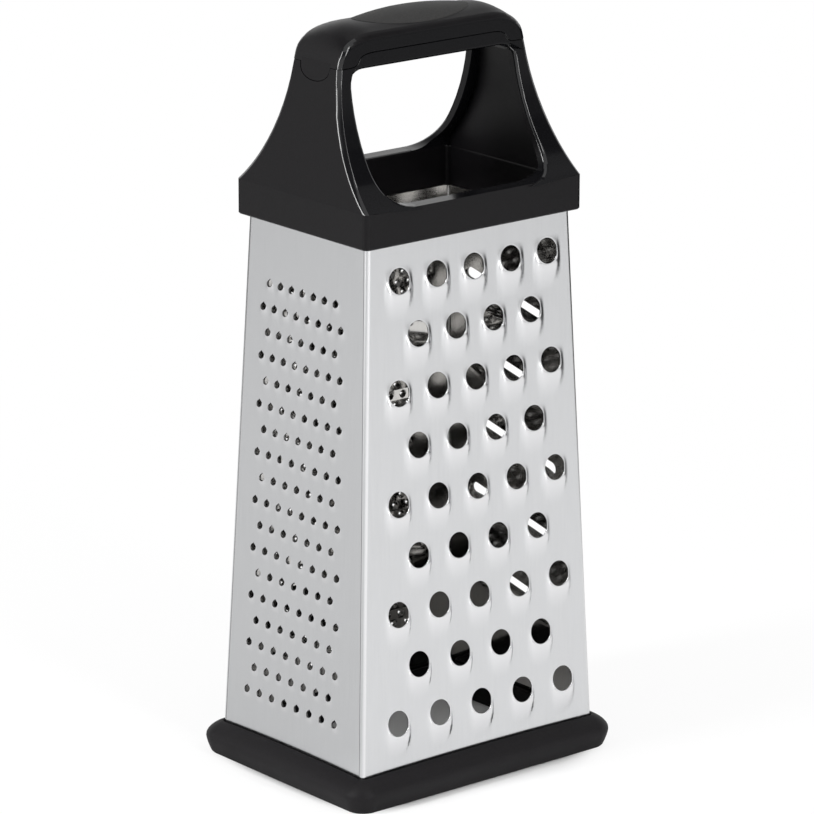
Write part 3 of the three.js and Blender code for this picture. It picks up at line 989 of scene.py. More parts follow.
    def turned_in(self, part: bmesh.types.BMFace) -> bool:
        """Says whether a face looks into the body.

        Args:
            part: A face of the flat sheet or its folds.

        Returns:
            Whether it has to be flipped.
        """
        middle = part.calc_center_median()
        beyond = abs(middle.x) > self.half(middle.y) + TOUCH
        way = Vector((math.copysign(1.0, middle.x) if beyond else 0.0, 0.0, 1.0))
        return part.normal.dot(way) < 0.0

    def stand(self) -> Matrix:
        """Leans the flat sheet and turns it to its side of the body.

        Returns:
            The move from the flat sheet to its place.
        """
        lean = math.atan2(self.foot_reach - self.head_reach, self.shown)
        upright = Matrix(((1.0, 0.0, 0.0, 0.0),
                          (0.0, math.sin(lean), -math.cos(lean), -self.foot_reach),
                          (0.0, math.cos(lean), math.sin(lean), self.ring_top),
                          (0.0, 0.0, 0.0, 1.0)))
        return Matrix.Rotation(math.radians(self.side.value), 4, "Z") @ upright


@dataclass
class CoarseFace(SteelFace):
    """Wide front face: round holes, each with a broad lip pressed out below it."""

    radius: float = 3.95
    rim: float = 0.16
    rise: float = 1.2
    half_lip: float = 5.7
    lip_end: float = 11.3
    flat_share: float = 0.66
    easing: float = 0.8
    curl: float = 1.3
    narrowing: float = 0.3
    rings: tuple[Flat, ...] = ((0.05, 0.7), (0.16, 0.3), (0.5, 0.0), (1.0, 0.0))
    points: int = 56

    def ramp(self, down: float) -> float:
        """Lip along the middle: up over the hole, then down to the lip's end.

        Args:
            down: Distance below the hole's centre.

        Returns:
            Share of the lip's height.
        """
        rising = max(0.0, (down + self.radius) / (2.0 * self.radius)) ** self.curl
        falling = (self.lip_end - down) / (self.lip_end - self.radius)
        return max(0.0, min(rising, falling))

    def share(self, place: Vector) -> float:
        """Lip across the tile: an arched ramp that narrows downwards.

        Args:
            place: A place on the flat tile.

        Returns:
            Share of the lip's height.
        """
        down = -place.y
        if down >= self.lip_end:
            return 0.0
        half = self.half_lip * (1.0 - (max(down, 0.0) / self.lip_end) ** 2) ** self.narrowing
        arch = 1.0 - smooth_step(self.flat_share, 1.0, abs(place.x) / half)
        return arch * sum(self.ramp(down + ease) for ease in (-self.easing, 0.0, self.easing)) / 3.0

    def tile(self) -> Workpiece:
        """Models one hole with its rounded rim and its lip.

        Returns:
            The tile.
        """
        plan = self.punches
        work = Workpiece.circle("coarse_punch", self.radius, self.points)
        with work.edit():
            bpy.ops.mesh.select_all(action="SELECT")
            bpy.ops.transform.translate(value=(0.0, 0.0, -self.rim))
            start = self.radius
            for out, lift in self.rings:
                work.grow(start, self.radius + out, self.rim * lift)
                start = self.radius + out
            work.border(plan.column_pitch, plan.above, plan.row_pitch - plan.above, rings=8)
        work.press(self.rise, self.share)
        return work


@dataclass
class FineFace(SteelFace):
    """Narrow left face: small teardrop holes with small lips."""

    radius: float = 1.33
    flat: float = 0.85
    point: float = 0.42
    rise: float = 0.38
    drop: float = 2.6
    flat_top: float = 0.7
    foot: float = 1.75
    head: float = 0.2
    curl: float = 1.5
    rim: float = 0.35
    shoulder: float = 0.8
    tip: tuple[tuple[Flat, float, float], ...] = (((-0.1, 0.1), 1.0, 1.0), ((0.1, 0.7), 0.3, 0.8))
    points: int = 16

    def share(self, place: Vector) -> float:
        """Lip across the tile, falling away below the hole and to its sides.

        Args:
            place: A place on the flat tile.

        Returns:
            Share of the lip's height.
        """
        across = abs(place.x)
        edge = self.flat * math.sqrt(max(0.0, self.radius ** 2 - across ** 2))
        below = -place.y - edge
        if place.y > self.head or below > self.drop:
            return 0.0
        slope = (1.0 - max(0.0, below) / self.drop) ** self.curl
        return slope * (1.0 - smooth_step(self.flat_top, self.foot, across))

    def tile(self) -> Workpiece:
        """Models one teardrop hole and its lip.

        Returns:
            The tile.
        """
        plan = self.punches
        work = Workpiece.circle("fine_punch", self.radius, self.points)
        with work.edit():
            bpy.ops.mesh.select_all(action="SELECT")
            work.grow(self.radius, self.radius + self.rim)
            work.border(plan.column_pitch, plan.above, plan.row_pitch - plan.above, rings=2)
            rim = self.radius + self.rim + NEAR
            work.pick(Pick.POINTS, lambda point: point.co.length < rim)
            bpy.ops.transform.resize(value=(1.0, self.flat, 1.0), center_override=(0.0, 0.0, 0.0))
            for (low, high), rise, pinch in self.tip:
                work.pick(Pick.POINTS, lambda point: self.shoulder < point.co.y < rim and low < abs(point.co.x) < high)
                bpy.ops.transform.resize(value=(pinch, 1.0, 1.0), center_override=(0.0, 0.0, 0.0))
                bpy.ops.transform.translate(value=(0.0, self.point * rise, 0.0))
        work.press(self.rise, self.share)
        return work


@dataclass
class SlicerFace(SteelFace):
    """Narrow right face: long slanted slots, each with a raised blade below it."""

    length: float = 42.0
    gap: float = 4.4
    slant: float = 13.0
    rise: float = 1.7
    drop: float = 3.3
    skirt: float = 3.3
    curl: float = 1.4
    end_fade: Flat = (1.0, 0.4)
    rings: tuple[float, ...] = (0.3, 1.2, 2.2)
    points: int = 16
    long_cuts: int = 10

    @property
    def bore(self) -> float:
        """Half width of the slot."""
        return self.gap / 2.0

    @property
    def reach(self) -> float:
        """Half length of the slot's straight part."""
        return self.length / 2.0 - self.bore

    def clear_of_slot(self, place: Vector) -> float:
        """Distance from the middle line of the level slot."""
        return math.hypot(max(0.0, abs(place.x) - self.reach), place.y)

    def share(self, place: Vector) -> float:
        """Blade beside the level slot, falling away below it and at its ends.

        Args:
            place: A place on the flat tile.

        Returns:
            Share of the blade's height.
        """
        beyond = max(0.0, abs(place.x) - self.reach)
        edge = math.sqrt(max(0.0, self.bore ** 2 - beyond ** 2))
        below = -place.y - edge
        if place.y > 0.0 or below > self.drop:
            return 0.0
        slope = (1.0 - max(0.0, below) / self.drop) ** self.curl
        start, end = self.reach - self.end_fade[0], self.reach + self.bore + self.end_fade[1]
        return slope * (1.0 - smooth_step(start, end, abs(place.x)))

    def tile(self) -> Workpiece:
        """Models one slot, level at first, then slanted on its rectangle of sheet.

        Returns:
            The tile.
        """
        plan = self.punches
        work = Workpiece.circle("slicer_slot", self.bore, self.points)
        with work.edit():
            bpy.ops.mesh.select_all(action="SELECT")
            bpy.ops.transform.rotate(value=math.pi / self.points, orient_axis="Z", center_override=(0.0, 0.0, 0.0))
            radii = [self.bore + ring for ring in (0.0, *self.rings, self.skirt)]
            for start, end in zip(radii, radii[1:]):
                work.grow(start, end)
            for side in (-1.0, 1.0):
                work.pick(Pick.POINTS, lambda point: point.co.x * side > 0.0)
                bpy.ops.transform.translate(value=(side * self.reach, 0.0, 0.0))
            work.pick(Pick.EDGES, lambda edge: abs(edge.verts[0].co.x - edge.verts[1].co.x) > self.reach)
            bpy.ops.mesh.subdivide(number_cuts=self.long_cuts)
        work.press(self.rise, self.share)
        work.place(Matrix.Rotation(math.radians(self.slant), 4, "Z"))
        with work.edit():
            level = Matrix.Rotation(math.radians(-self.slant), 3, "Z")
            last = self.bore + (self.rings[-1] + self.skirt) / 2.0
            work.pick(Pick.POINTS, lambda point: self.clear_of_slot(level @ point.co) > last)
            work.border(plan.column_pitch, plan.above, plan.row_pitch - plan.above, rings=3)
        return work


@dataclass
class RaspFace(SteelFace):
    """Wide back face: close rows of small star punches with torn points."""

    crater: float = 1.62
    star: float = 1.2
    pinch: float = 0.6
    rise: float = 0.8
    points: int = 8

    def tile(self) -> Workpiece:
        """Models one star punch.

        Returns:
            The tile.
        """
        plan = self.punches
        work = Workpiece.circle("rasp_punch", self.star, self.points)
        with work.edit():
            bpy.ops.mesh.select_all(action="SELECT")
            work.grow(self.star, self.crater)
            work.border(plan.column_pitch, plan.above, plan.row_pitch - plan.above, rings=1)
            work.pick(Pick.POINTS, lambda point: point.co.length < self.star + NEAR)
            bpy.ops.transform.translate(value=(0.0, 0.0, self.rise))
            work.pick(Pick.POINTS, lambda point: point.co.xy.length < self.star + NEAR and abs(
                abs(point.co.x) - abs(point.co.y)) < NEAR)
            bpy.ops.transform.resize(value=(self.pinch, self.pinch, 1.0), center_override=(0.0, 0.0, 0.0))
        return work


@dataclass
class FootRing:
    """Rubber ring with a rounded outside that grips the foot of the steel body."""

    half_width: float = 47.0
    half_depth: float = 34.8
    fold: float = 1.4
    bow: float = 0.6
    bow_foot: float = 4.0
    bow_head: float = 10.2
    smooth: float = 40.0
    outside: tuple[Flat, ...] = (
        (3.2, 0.005), (3.85, 0.14), (4.35, 0.6), (4.95, 1.9), (5.52, 3.4), (5.86, 4.6), (5.99, 5.5), (5.88, 6.3),
        (5.45, 7.1), (4.7, 7.95), (3.6, 8.85), (2.4, 9.6), (1.4, 10.08), (0.9, 10.2), (0.6, 10.05), (0.35, 9.5),
    )
    seat: tuple[Flat, ...] = ((0.3, 4.0), (-0.9, 4.0), (-0.9, 0.005))
    inside: tuple[Flat, ...] = (
        (-0.8, 0.005), (-0.8, 9.9), (-1.2, 10.3), (-2.3, 10.3), (-2.7, 9.9), (-2.7, 0.4), (-2.3, 0.005),
    )

    def build(self, rubber: bpy.types.Material) -> bpy.types.Object:
        """Builds the ring.

        Args:
            rubber: Its finish.

        Returns:
            The finished object.
        """
        half = (self.half_width, self.half_depth)
        section = self.outside + self.seat
        ring = Workpiece.sweep("foot_ring", section, half, inset=self.fold, corner_steps=10, side_steps=12)
        lip = Workpiece.sweep("inner_lip", self.inside, half, inset=4.0, corner_steps=5, side_steps=1)
        ring.press(self.bow, self.share)
        ring.join([lip])
        ring.soften(self.smooth)
        return ring.finish("base_ring", "ring_rubber", rubber)

    def share(self, place: Vector) -> float:
        """Share of the upward bow, most at the middle of each side's upper edge."""
        along = min(abs(place.x) / self.half_width, abs(place.y) / self.half_depth, 1.0)
        return (1.0 - along ** 2) * smooth_step(self.bow_foot, self.bow_head, place.z)


@dataclass
class Handle:
    """Moulded handle: collar over the steel, two hollow flared legs and the lower half of the grip."""

    head_width: float = 80.6
    head_depth: float = 57.6
    foot: float = 175.3
    top: float = 186.3
    reach: float = 2.75
    throat: float = 3.217
    groove: float = 1.217
    groove_roof: float = 183.4
    skirt_foot: float = 173.0
    window_foot: float = 33.3
    window_head: float = 32.1
    foot_round: float = 11.0
    head_round: float = 5.0
    bar_foot: float = 225.3
    bar_top: float = 230.0
    shoulder: float = 226.2
    half_grip: float = 36.4
    half_depth: float = 11.3
    step: float = 29.0
    wall: float = 2.6
    flange: float = 3.5
    roof: float = 222.5
    sunk: float = 0.12
    corner: float = 1.8
    rim: float = 1.25
    edge_steps: int = 6
    seam_edge: float = 0.25
    seam_ends: Flat = (3.5, 6.0)
    seam_bend: float = 0.6
    seam_steps: int = 5
    leg_levels: tuple[float, ...] = (200.5, 204.0, 208.4, 212.5, 216.5)
    leg_lap: float = 1.2
    bar_lap: float = 0.2
    bar_edge_foot: float = 0.7
    foot_steps: int = 10
    head_steps: int = 6
    leg_head_steps: int = 4
    smooth: float = 35.0
    satin_turn: float = 0.9
    rounding_turn: float = 0.25

    @property
    def half_width(self) -> float:
        """Half width of the collar."""
        return self.head_width / 2.0 + self.reach

    @property
    def half_collar(self) -> float:
        """Half depth of the collar."""
        return self.head_depth / 2.0 + self.reach

    def outside(self, height: float) -> float:
        """Distance of a leg's outer face from the middle."""
        lean = (self.half_width - self.half_grip) / (self.bar_top - self.top)
        return self.half_width - lean * (max(height, self.top) - self.top)

    def flare(self, height: float) -> float:
        """Half depth of a leg along the arc that flares it to the collar.

        Args:
            height: Height on the leg.

        Returns:
            The half depth there.
        """
        rise, out = self.bar_top - self.top, self.half_collar - self.half_depth
        radius = (out * out + rise * rise) / (2.0 * out)
        drop = min(max(self.bar_top - height, 0.0), rise)
        return self.half_depth + radius - math.sqrt(radius * radius - drop * drop)

    def window(self, height: float) -> float:
        """Half width of the finger window between its rounded corners."""
        share = (height - self.top) / (self.bar_foot - self.top)
        return self.window_foot + (self.window_head - self.window_foot) * share

    def seam(self, gap: float) -> list[Flat]:
        """Right half of the seam between bar and cap as (x, height), from the shoulder up to the bar's top.

        Args:
            gap: How far the line is moved up.

        Returns:
            Points of an S-shaped line.
        """
        low, high = self.shoulder + gap, self.bar_top + gap
        middle = (self.step, (low + high) / 2.0)
        start, end = (self.step + self.seam_ends[0], low), (self.step - self.seam_ends[1], high)
        lower = curve(start, (self.step + self.seam_bend, low), middle, self.seam_steps)
        upper = curve(middle, (self.step - self.seam_bend, high), end, self.seam_steps)
        return [start] + lower + upper

    def levels(self) -> list[Flat]:
        """Sections of a leg, closest together in the window's rounded corners.

        Returns:
            The window's half width and the height of each.
        """
        low = (self.window_foot - self.foot_round, self.top)
        low_end = (self.window(self.top + self.foot_round), self.top + self.foot_round)
        high = (self.window(self.bar_foot - self.head_round), self.bar_foot - self.head_round)
        high_end = (self.window_head - self.head_round, self.bar_foot)
        points = [(low[0], self.top - self.sunk), low]
        points += curve(low, (self.window_foot, self.top), low_end, self.foot_steps)
        points += [(self.window(height), height) for height in self.leg_levels]
        rounding = curve(high, (self.window_head, self.bar_foot), high_end, self.head_steps)
        return points + [high] + rounding[:self.leg_head_steps]

    def section(self, inner: float, height: float) -> list[Point]:
        """Channel section of the right leg, open towards the window.

        Args:
            inner: Half width of the window there.
            height: Height of the section.

        Returns:
            Its corners in order.
        """
        outer, deep = self.outside(height), self.flare(height)
        hollow = min(outer - self.wall, self.head_width / 2.0 - self.throat)
        slot = min(deep - self.flange, self.head_depth / 2.0 - self.throat)
        plan = ((inner, -deep), (outer, -deep), (outer, deep), (inner, deep),
                (inner, slot), (hollow, slot), (hollow, -slot), (inner, -slot))
        return [(x, y, height) for x, y in plan]

    def leg(self, side: float) -> Workpiece:
        """Models one leg.

        Args:
            side: -1 for the left leg, 1 for the right leg.

        Returns:
            The leg with rounded edges.
        """
        levels = [(inner, height) for inner, height in self.levels() if height < self.roof + self.leg_lap]
        sections = [self.section(inner, height) for inner, height in levels]
        leg = Workpiece.loft("leg", [[(side * x, y, z) for x, y, z in section] for section in sections])
        with leg.edit():
            for outer, offset in ((True, self.corner), (False, self.rim)):
                leg.pick(Pick.EDGES, lambda edge: self.is_outer_edge(edge) and self.is_far_out(edge) == outer)
                bpy.ops.mesh.bevel(offset=offset, segments=self.edge_steps, affect="EDGES", clamp_overlap=False)
            bpy.ops.mesh.select_all(action="SELECT")
            bpy.ops.mesh.normals_make_consistent(inside=False)
        return leg

    def is_outer_edge(self, edge: bmesh.types.BMEdge) -> bool:
        """Says whether an edge runs along one of a leg's four outer corners.

        Args:
            edge: An edge of a leg.

        Returns:
            Whether it is one that gets rounded.
        """
        ends = [point.co for point in edge.verts]
        if abs(ends[0].z - ends[1].z) < TOUCH:
            return False
        return all(abs(abs(end.y) - self.flare(end.z)) < 2.0 * NEAR for end in ends)

    def is_far_out(self, edge: bmesh.types.BMEdge) -> bool:
        """Says whether an edge lies at the handle's outer ends, beyond the finger window."""
        return abs(edge.verts[0].co.x) > (self.window_foot + self.half_grip) / 2.0

    def bar(self) -> Workpiece:
        """Models the lower half of the grip, with the shoulders that the cap steps over.

        Returns:
            The bar with rounded edges.
        """
        head = (self.window_head - self.head_round, self.bar_foot)
        start = (self.window(self.bar_foot - self.head_round), self.bar_foot - self.head_round)
        fillet = [start] + curve(start, (self.window_head, self.bar_foot), head, self.head_steps)
        right = [point for point in fillet if point[1] >= self.roof - self.bar_lap]
        foot = right[0][1]
        right = right[::-1] + [(self.outside(foot), foot), (self.outside(self.shoulder), self.shoulder)]
        right += self.seam(0.0)
        outline = right + [(-x, z) for x, z in right[::-1]]
        bar = Workpiece.slab("bar", [(x, self.half_depth, z) for x, z in outline], (0.0, -2.0 * self.half_depth, 0.0))
        with bar.edit():
            bar.pick(Pick.POINTS, lambda point: point.co.z < foot + NEAR)
            share = self.flare(foot) / self.half_depth
            bpy.ops.transform.resize(value=(1.0, share, 1.0), center_override=(0.0, 0.0, 0.0))
            for outer, offset in ((True, self.corner), (False, self.rim)):
                bar.pick(Pick.EDGES, lambda edge: self.is_bar_edge(edge, False) and self.is_far_out(edge) == outer)
                bpy.ops.mesh.bevel(offset=offset, segments=self.edge_steps, affect="EDGES", clamp_overlap=False)
            bar.pick(Pick.EDGES, lambda edge: self.is_bar_edge(edge, True))
            bpy.ops.mesh.bevel(offset=self.seam_edge, segments=2, affect="EDGES", clamp_overlap=False)
        return bar

    def is_bar_edge(self, edge: bmesh.types.BMEdge, on_seam: bool) -> bool:
        """Says whether an edge runs round the bar's front or back, along its seam or below it.

        Args:
            edge: The edge.
            on_seam: Whether seam edges are asked for.

        Returns:
            Whether it is one of them.
        """
        ends = [point.co for point in edge.verts]
        if ends[0].y * ends[1].y < 0.0 or min(abs(end.y) for end in ends) < self.half_depth - NEAR:
            return False
        seam = min(end.z for end in ends) > self.shoulder - NEAR
        return seam == on_seam and max(end.z for end in ends) > self.roof + self.bar_edge_foot

    def collar(self) -> Workpiece:
        """Models the collar: an outer wall and an inner skirt with the steel's groove between them.

        Returns:
            The collar with its skirt.
        """
        half = (self.head_width / 2.0, self.head_depth / 2.0)
        wall = ((0.75, self.foot), (2.35, self.foot), (self.reach, self.foot + 0.4), (self.reach, self.top - 0.1),
                (self.reach - 0.1, self.top), (0.75, self.top))
        skirt = ((0.8, self.top), (0.8, self.groove_roof), (-self.groove, self.groove_roof),
                 (-self.groove, self.skirt_foot), (0.5 - self.throat, self.skirt_foot),
                 (-self.throat, self.skirt_foot + 0.5), (-self.throat, self.top - 0.9),
                 (0.26 - self.throat, self.top - 0.26), (0.9 - self.throat, self.top))
        collar = Workpiece.sweep("collar", wall, half, inset=-0.7, corner_steps=8, side_steps=1)
        collar.join([Workpiece.sweep("skirt", skirt, half, inset=4.7, corner_steps=6, side_steps=1)])
        return collar

    def build(self, gloss: bpy.types.Material, satin: bpy.types.Material,
              edge: bpy.types.Material) -> bpy.types.Object:
        """Builds the handle's lower moulding.

        Args:
            gloss: Finish of the polished flares.
            satin: Finish of the collar and the outer faces.
            edge: Finish of the rounded edges.

        Returns:
            The finished object.
        """
        shell = self.collar()
        shell.shape.name = shell.shape.data.name = "handle_shell"
        legs = [self.leg(-1.0), self.leg(1.0)]
        bar = self.bar()
        for leg, side in zip(legs, (-1.0, 1.0)):
            leg.cut(Tongue().cutter(self, side))
            bar.cut(Tongue().cutter(self, side))
        shell.join(legs + [bar])
        shell.soften(self.smooth)
        shell.flatten()
        handle = shell.finish("handle_frame", "handle_plastic", gloss, satin, edge)
        shell.give(1, self.is_satin)
        shell.give(2, self.is_rounding)
        return handle

    def is_satin(self, part: bmesh.types.BMFace) -> bool:
        """Says whether a face of the handle has the satin finish."""
        return part.calc_center_median().z < self.top * MM or abs(part.normal.x) > self.satin_turn

    def is_rounding(self, part: bmesh.types.BMFace) -> bool:
        """Says whether a face belongs to a leg's rounded edge, turned between its front and its side."""
        turned = min(abs(part.normal.x), abs(part.normal.y)) > self.rounding_turn
        return turned and part.calc_center_median().z > self.top * MM


@dataclass(frozen=True)
class Tongue:
    """Round-ended tongue of the cap that laps over the outside of a leg."""

    half_width: float = 7.0
    drop: float = 4.8
    depth: float = 1.5
    gap: float = 0.16
    edge: float = 0.25
    clear: float = 1.0
    sunk: float = 0.3
    fullness: float = 0.8
    steps: int = 12

    def outline(self, handle: Handle, grown: float) -> list[Flat]:
        """Outline as (across, height).

        Args:
            handle: The handle that it lies on.
            grown: How far the outline is grown for clearance.

        Returns:
            The corners in order.
        """
        half, foot = self.half_width + grown, handle.shoulder - self.drop - grown
        points = [(half, handle.shoulder + self.depth), (-half, handle.shoulder + self.depth), (-half, handle.shoulder)]
        for step in range(1, self.steps):
            turn = math.pi * step / self.steps
            drop = (handle.shoulder - foot) * math.sin(turn) ** self.fullness
            points.append((-half * math.cos(turn), handle.shoulder - drop))
        return points + [(half, handle.shoulder)]

    def cutter(self, handle: Handle, side: float) -> Workpiece:
        """Block that cuts the tongue's seat into a leg.

        Args:
            handle: The handle.
            side: -1 for the left leg, 1 for the right leg.

        Returns:
            The block.
        """
        points = [(side * (handle.outside(z) + self.clear), y, z) for y, z in self.outline(handle, self.gap)]
        return Workpiece.slab("seat", points, (-side * (self.clear + self.depth + self.sunk), 0.0, 0.0))

    def build(self, handle: Handle, side: float) -> Workpiece:
        """Models one tongue.

        Args:
            handle: The handle.
            side: -1 for the left leg, 1 for the right leg.

        Returns:
            The tongue with a softened edge.
        """
        points = [(side * handle.outside(z), y, z) for y, z in self.outline(handle, 0.0)]
        tongue = Workpiece.slab("tongue", points, (-side * self.depth, 0.0, 0.0))
        tongue.modify("BEVEL", width=self.edge, segments=2, limit_method="ANGLE", angle_limit=math.radians(50.0))
        return tongue


@dataclass
class GripCap:
    """Upper shell of the grip with rounded ends and a crowned top."""

    top: float = 238.0
    end_round: float = 12.5
    crown: float = 2.8
    edge_round: float = 1.6
    seam_edge: float = 0.2
    edge_steps: int = 5
    gap: float = 0.16
    corner_steps: int = 12
    depth_steps: int = 6
    satin_turn: float = 0.85
    satin_rise: float = 0.35
    end_lap: float = 0.3
    seam_slack: float = 0.05
    seam_reach: float = 4.0
    smooth: float = 30.0

    def outline(self, handle: Handle) -> list[Flat]:
        """Front outline as (x, height), from the right seam round to the left one.

        Args:
            handle: The handle that it closes.

        Returns:
            The corners in order.
        """
        side, below = handle.outside(self.top), self.top - self.end_round
        low = handle.shoulder + self.gap
        start, end = (handle.outside(below), below), (side - self.end_round, self.top)
        rounding = curve(start, (side, self.top), end, self.corner_steps)
        shoulder = [point for point in rounding if point[1] > low + self.end_lap]
        right = handle.seam(self.gap)[::-1] + [(handle.outside(low), low)] + shoulder
        return right + [(-x, z) for x, z in right[::-1]]

    def section(self, handle: Handle, across: float) -> list[Point]:
        """Outline at one depth, with its ends and top drawn down towards the front and the back.

        Args:
            handle: The handle that it closes.
            across: Distance from the middle of the grip.

        Returns:
            The corners in order.
        """
        low = handle.bar_top + self.gap
        share = 1.0 - self.crown * (across / handle.half_depth) ** 2 / (self.top - low)
        return [(x, across, low + (z - low) * share if z > low else z) for x, z in self.outline(handle)]

    def surface(self, place: Vector, handle: Handle) -> float:
        """Height of the crowned top at a place."""
        return self.top - self.crown * (place.y / handle.half_depth) ** 2

    def is_side_edge(self, edge: bmesh.types.BMEdge, handle: Handle, on_seam: bool) -> bool:
        """Says whether an edge runs round the cap's front or back, along its seam or over its ends and top.

        Args:
            edge: The edge.
            handle: The handle under the cap.
            on_seam: Whether seam edges are asked for.

        Returns:
            Whether it is one of them.
        """
        ends = [point.co for point in edge.verts]
        if ends[0].y * ends[1].y < 0.0 or min(abs(end.y) for end in ends) < handle.half_depth - NEAR:
            return False
        low, high = sorted(end.z for end in ends)
        lift = self.gap + self.seam_slack
        outside = min(abs(end.x) for end in ends) > handle.step + self.seam_reach
        upright = outside and high > handle.shoulder + lift
        return (low > handle.bar_top + lift or upright) != on_seam

    def build(self, handle: Handle, gloss: bpy.types.Material, satin: bpy.types.Material,
              edge: bpy.types.Material) -> bpy.types.Object:
        """Builds the cap.

        Args:
            handle: The handle that it closes.
            gloss: Finish of its front and back.
            satin: Finish of its top, its ends and its tongues.
            edge: Finish of the rounded edges at its ends.

        Returns:
            The finished object.
        """
        deep = handle.half_depth
        places = [deep * step / self.depth_steps for step in range(-self.depth_steps, self.depth_steps + 1)]
        cap = Workpiece.loft("grip_shell", [self.section(handle, place) for place in places])
        with cap.edit():
            for on_seam, offset in ((False, self.edge_round), (True, self.seam_edge)):
                cap.pick(Pick.EDGES, lambda edge: self.is_side_edge(edge, handle, on_seam))
                bpy.ops.mesh.bevel(offset=offset, segments=self.edge_steps, affect="EDGES", clamp_overlap=False)
        tongue = Tongue()
        cap.join([tongue.build(handle, -1.0), tongue.build(handle, 1.0)])
        cap.soften(self.smooth)
        cap.flatten()
        shell = cap.finish("grip_cap", "handle_plastic", gloss, satin, edge)
        cap.give(1, lambda part: abs(part.normal.x) > self.satin_turn or part.normal.z > self.satin_rise)
        front = (deep - self.edge_round) * MM
        cap.give(2, lambda part: abs(part.calc_center_median().y) > front and handle.is_rounding(part))
        return shell


@dataclass
class GripPad:
    """Oval soft pad crowned over the top of the grip."""

    half_length: float = 22.0
    half_width: float = 9.0
    rim: float = 0.1
    crown: float = 239.9
    skirt: float = 1.2
    foot_share: float = 0.9995
    smooth: float = 60.0
    rings: tuple[float, ...] = (1.0, 0.999, 0.97, 0.93, 0.87, 0.78, 0.67, 0.54, 0.4, 0.25, 0.1)
    points: int = 64

    def height(self, place: Vector, cap: GripCap, handle: Handle) -> float:
        """Height of the pad's surface: level with the cap at its rim and highest in the middle."""
        spread = min(1.0, (place.x / self.half_length) ** 2 + (place.y / self.half_width) ** 2)
        return (cap.surface(place, handle) + self.rim) * spread + self.crown * (1.0 - spread)

    def build(self, cap: GripCap, handle: Handle, rubber: bpy.types.Material) -> bpy.types.Object:
        """Builds the pad from a ring drawn inwards and raised to its crown.

        Args:
            cap: The cap that carries it.
            handle: The handle under the cap.
            rubber: Its finish.

        Returns:
            The finished object.
        """
        pad = Workpiece.circle("palm_pad", self.rings[0], self.points)
        base = cap.top - cap.crown - self.skirt
        with pad.edit():
            bpy.ops.mesh.select_all(action="SELECT")
            for start, end in zip(self.rings, self.rings[1:]):
                pad.grow(start, end)
            bpy.ops.mesh.edge_face_add()
            bpy.ops.mesh.select_all(action="SELECT")
            bpy.ops.transform.resize(value=(self.half_length, self.half_width, 1.0), center_override=(0.0, 0.0, 0.0))
            bpy.ops.transform.translate(value=(0.0, 0.0, base))
            bpy.ops.mesh.normals_make_consistent(inside=False)
        full = self.crown - base
        pad.press(full, lambda place: 0.0 if self.on_foot(place) else (self.height(place, cap, handle) - base) / full)
        pad.soften(self.smooth)
        return pad.finish("grip_pad", "soft_pad", rubber)

    def on_foot(self, place: Vector) -> bool:
        """Says whether a point lies on the pad's lowest ring."""
        return (place.x / self.half_length) ** 2 + (place.y / self.half_width) ** 2 > self.foot_share


@dataclass(frozen=True)
class Lamp:
    """A soft rectangular lamp: where it hangs and its size in metres, and its power in watts."""

    name: str
    place: Point
    size: Flat
    power: float

    def hang(self, target: Point) -> None:
        """Hangs the lamp.

        Args:
            target: Where it looks, in metres.
        """
        data = bpy.data.lights.new(self.name, "AREA")
        data.shape = "RECTANGLE"
        data.size, data.size_y = self.size
        data.energy = self.power
        lamp = bpy.data.objects.new(self.name, data)
        bpy.context.scene.collection.objects.link(lamp)
        lamp.location = self.place
        lamp.rotation_euler = (Vector(target) - Vector(self.place)).to_track_quat("-Z", "Y").to_euler()


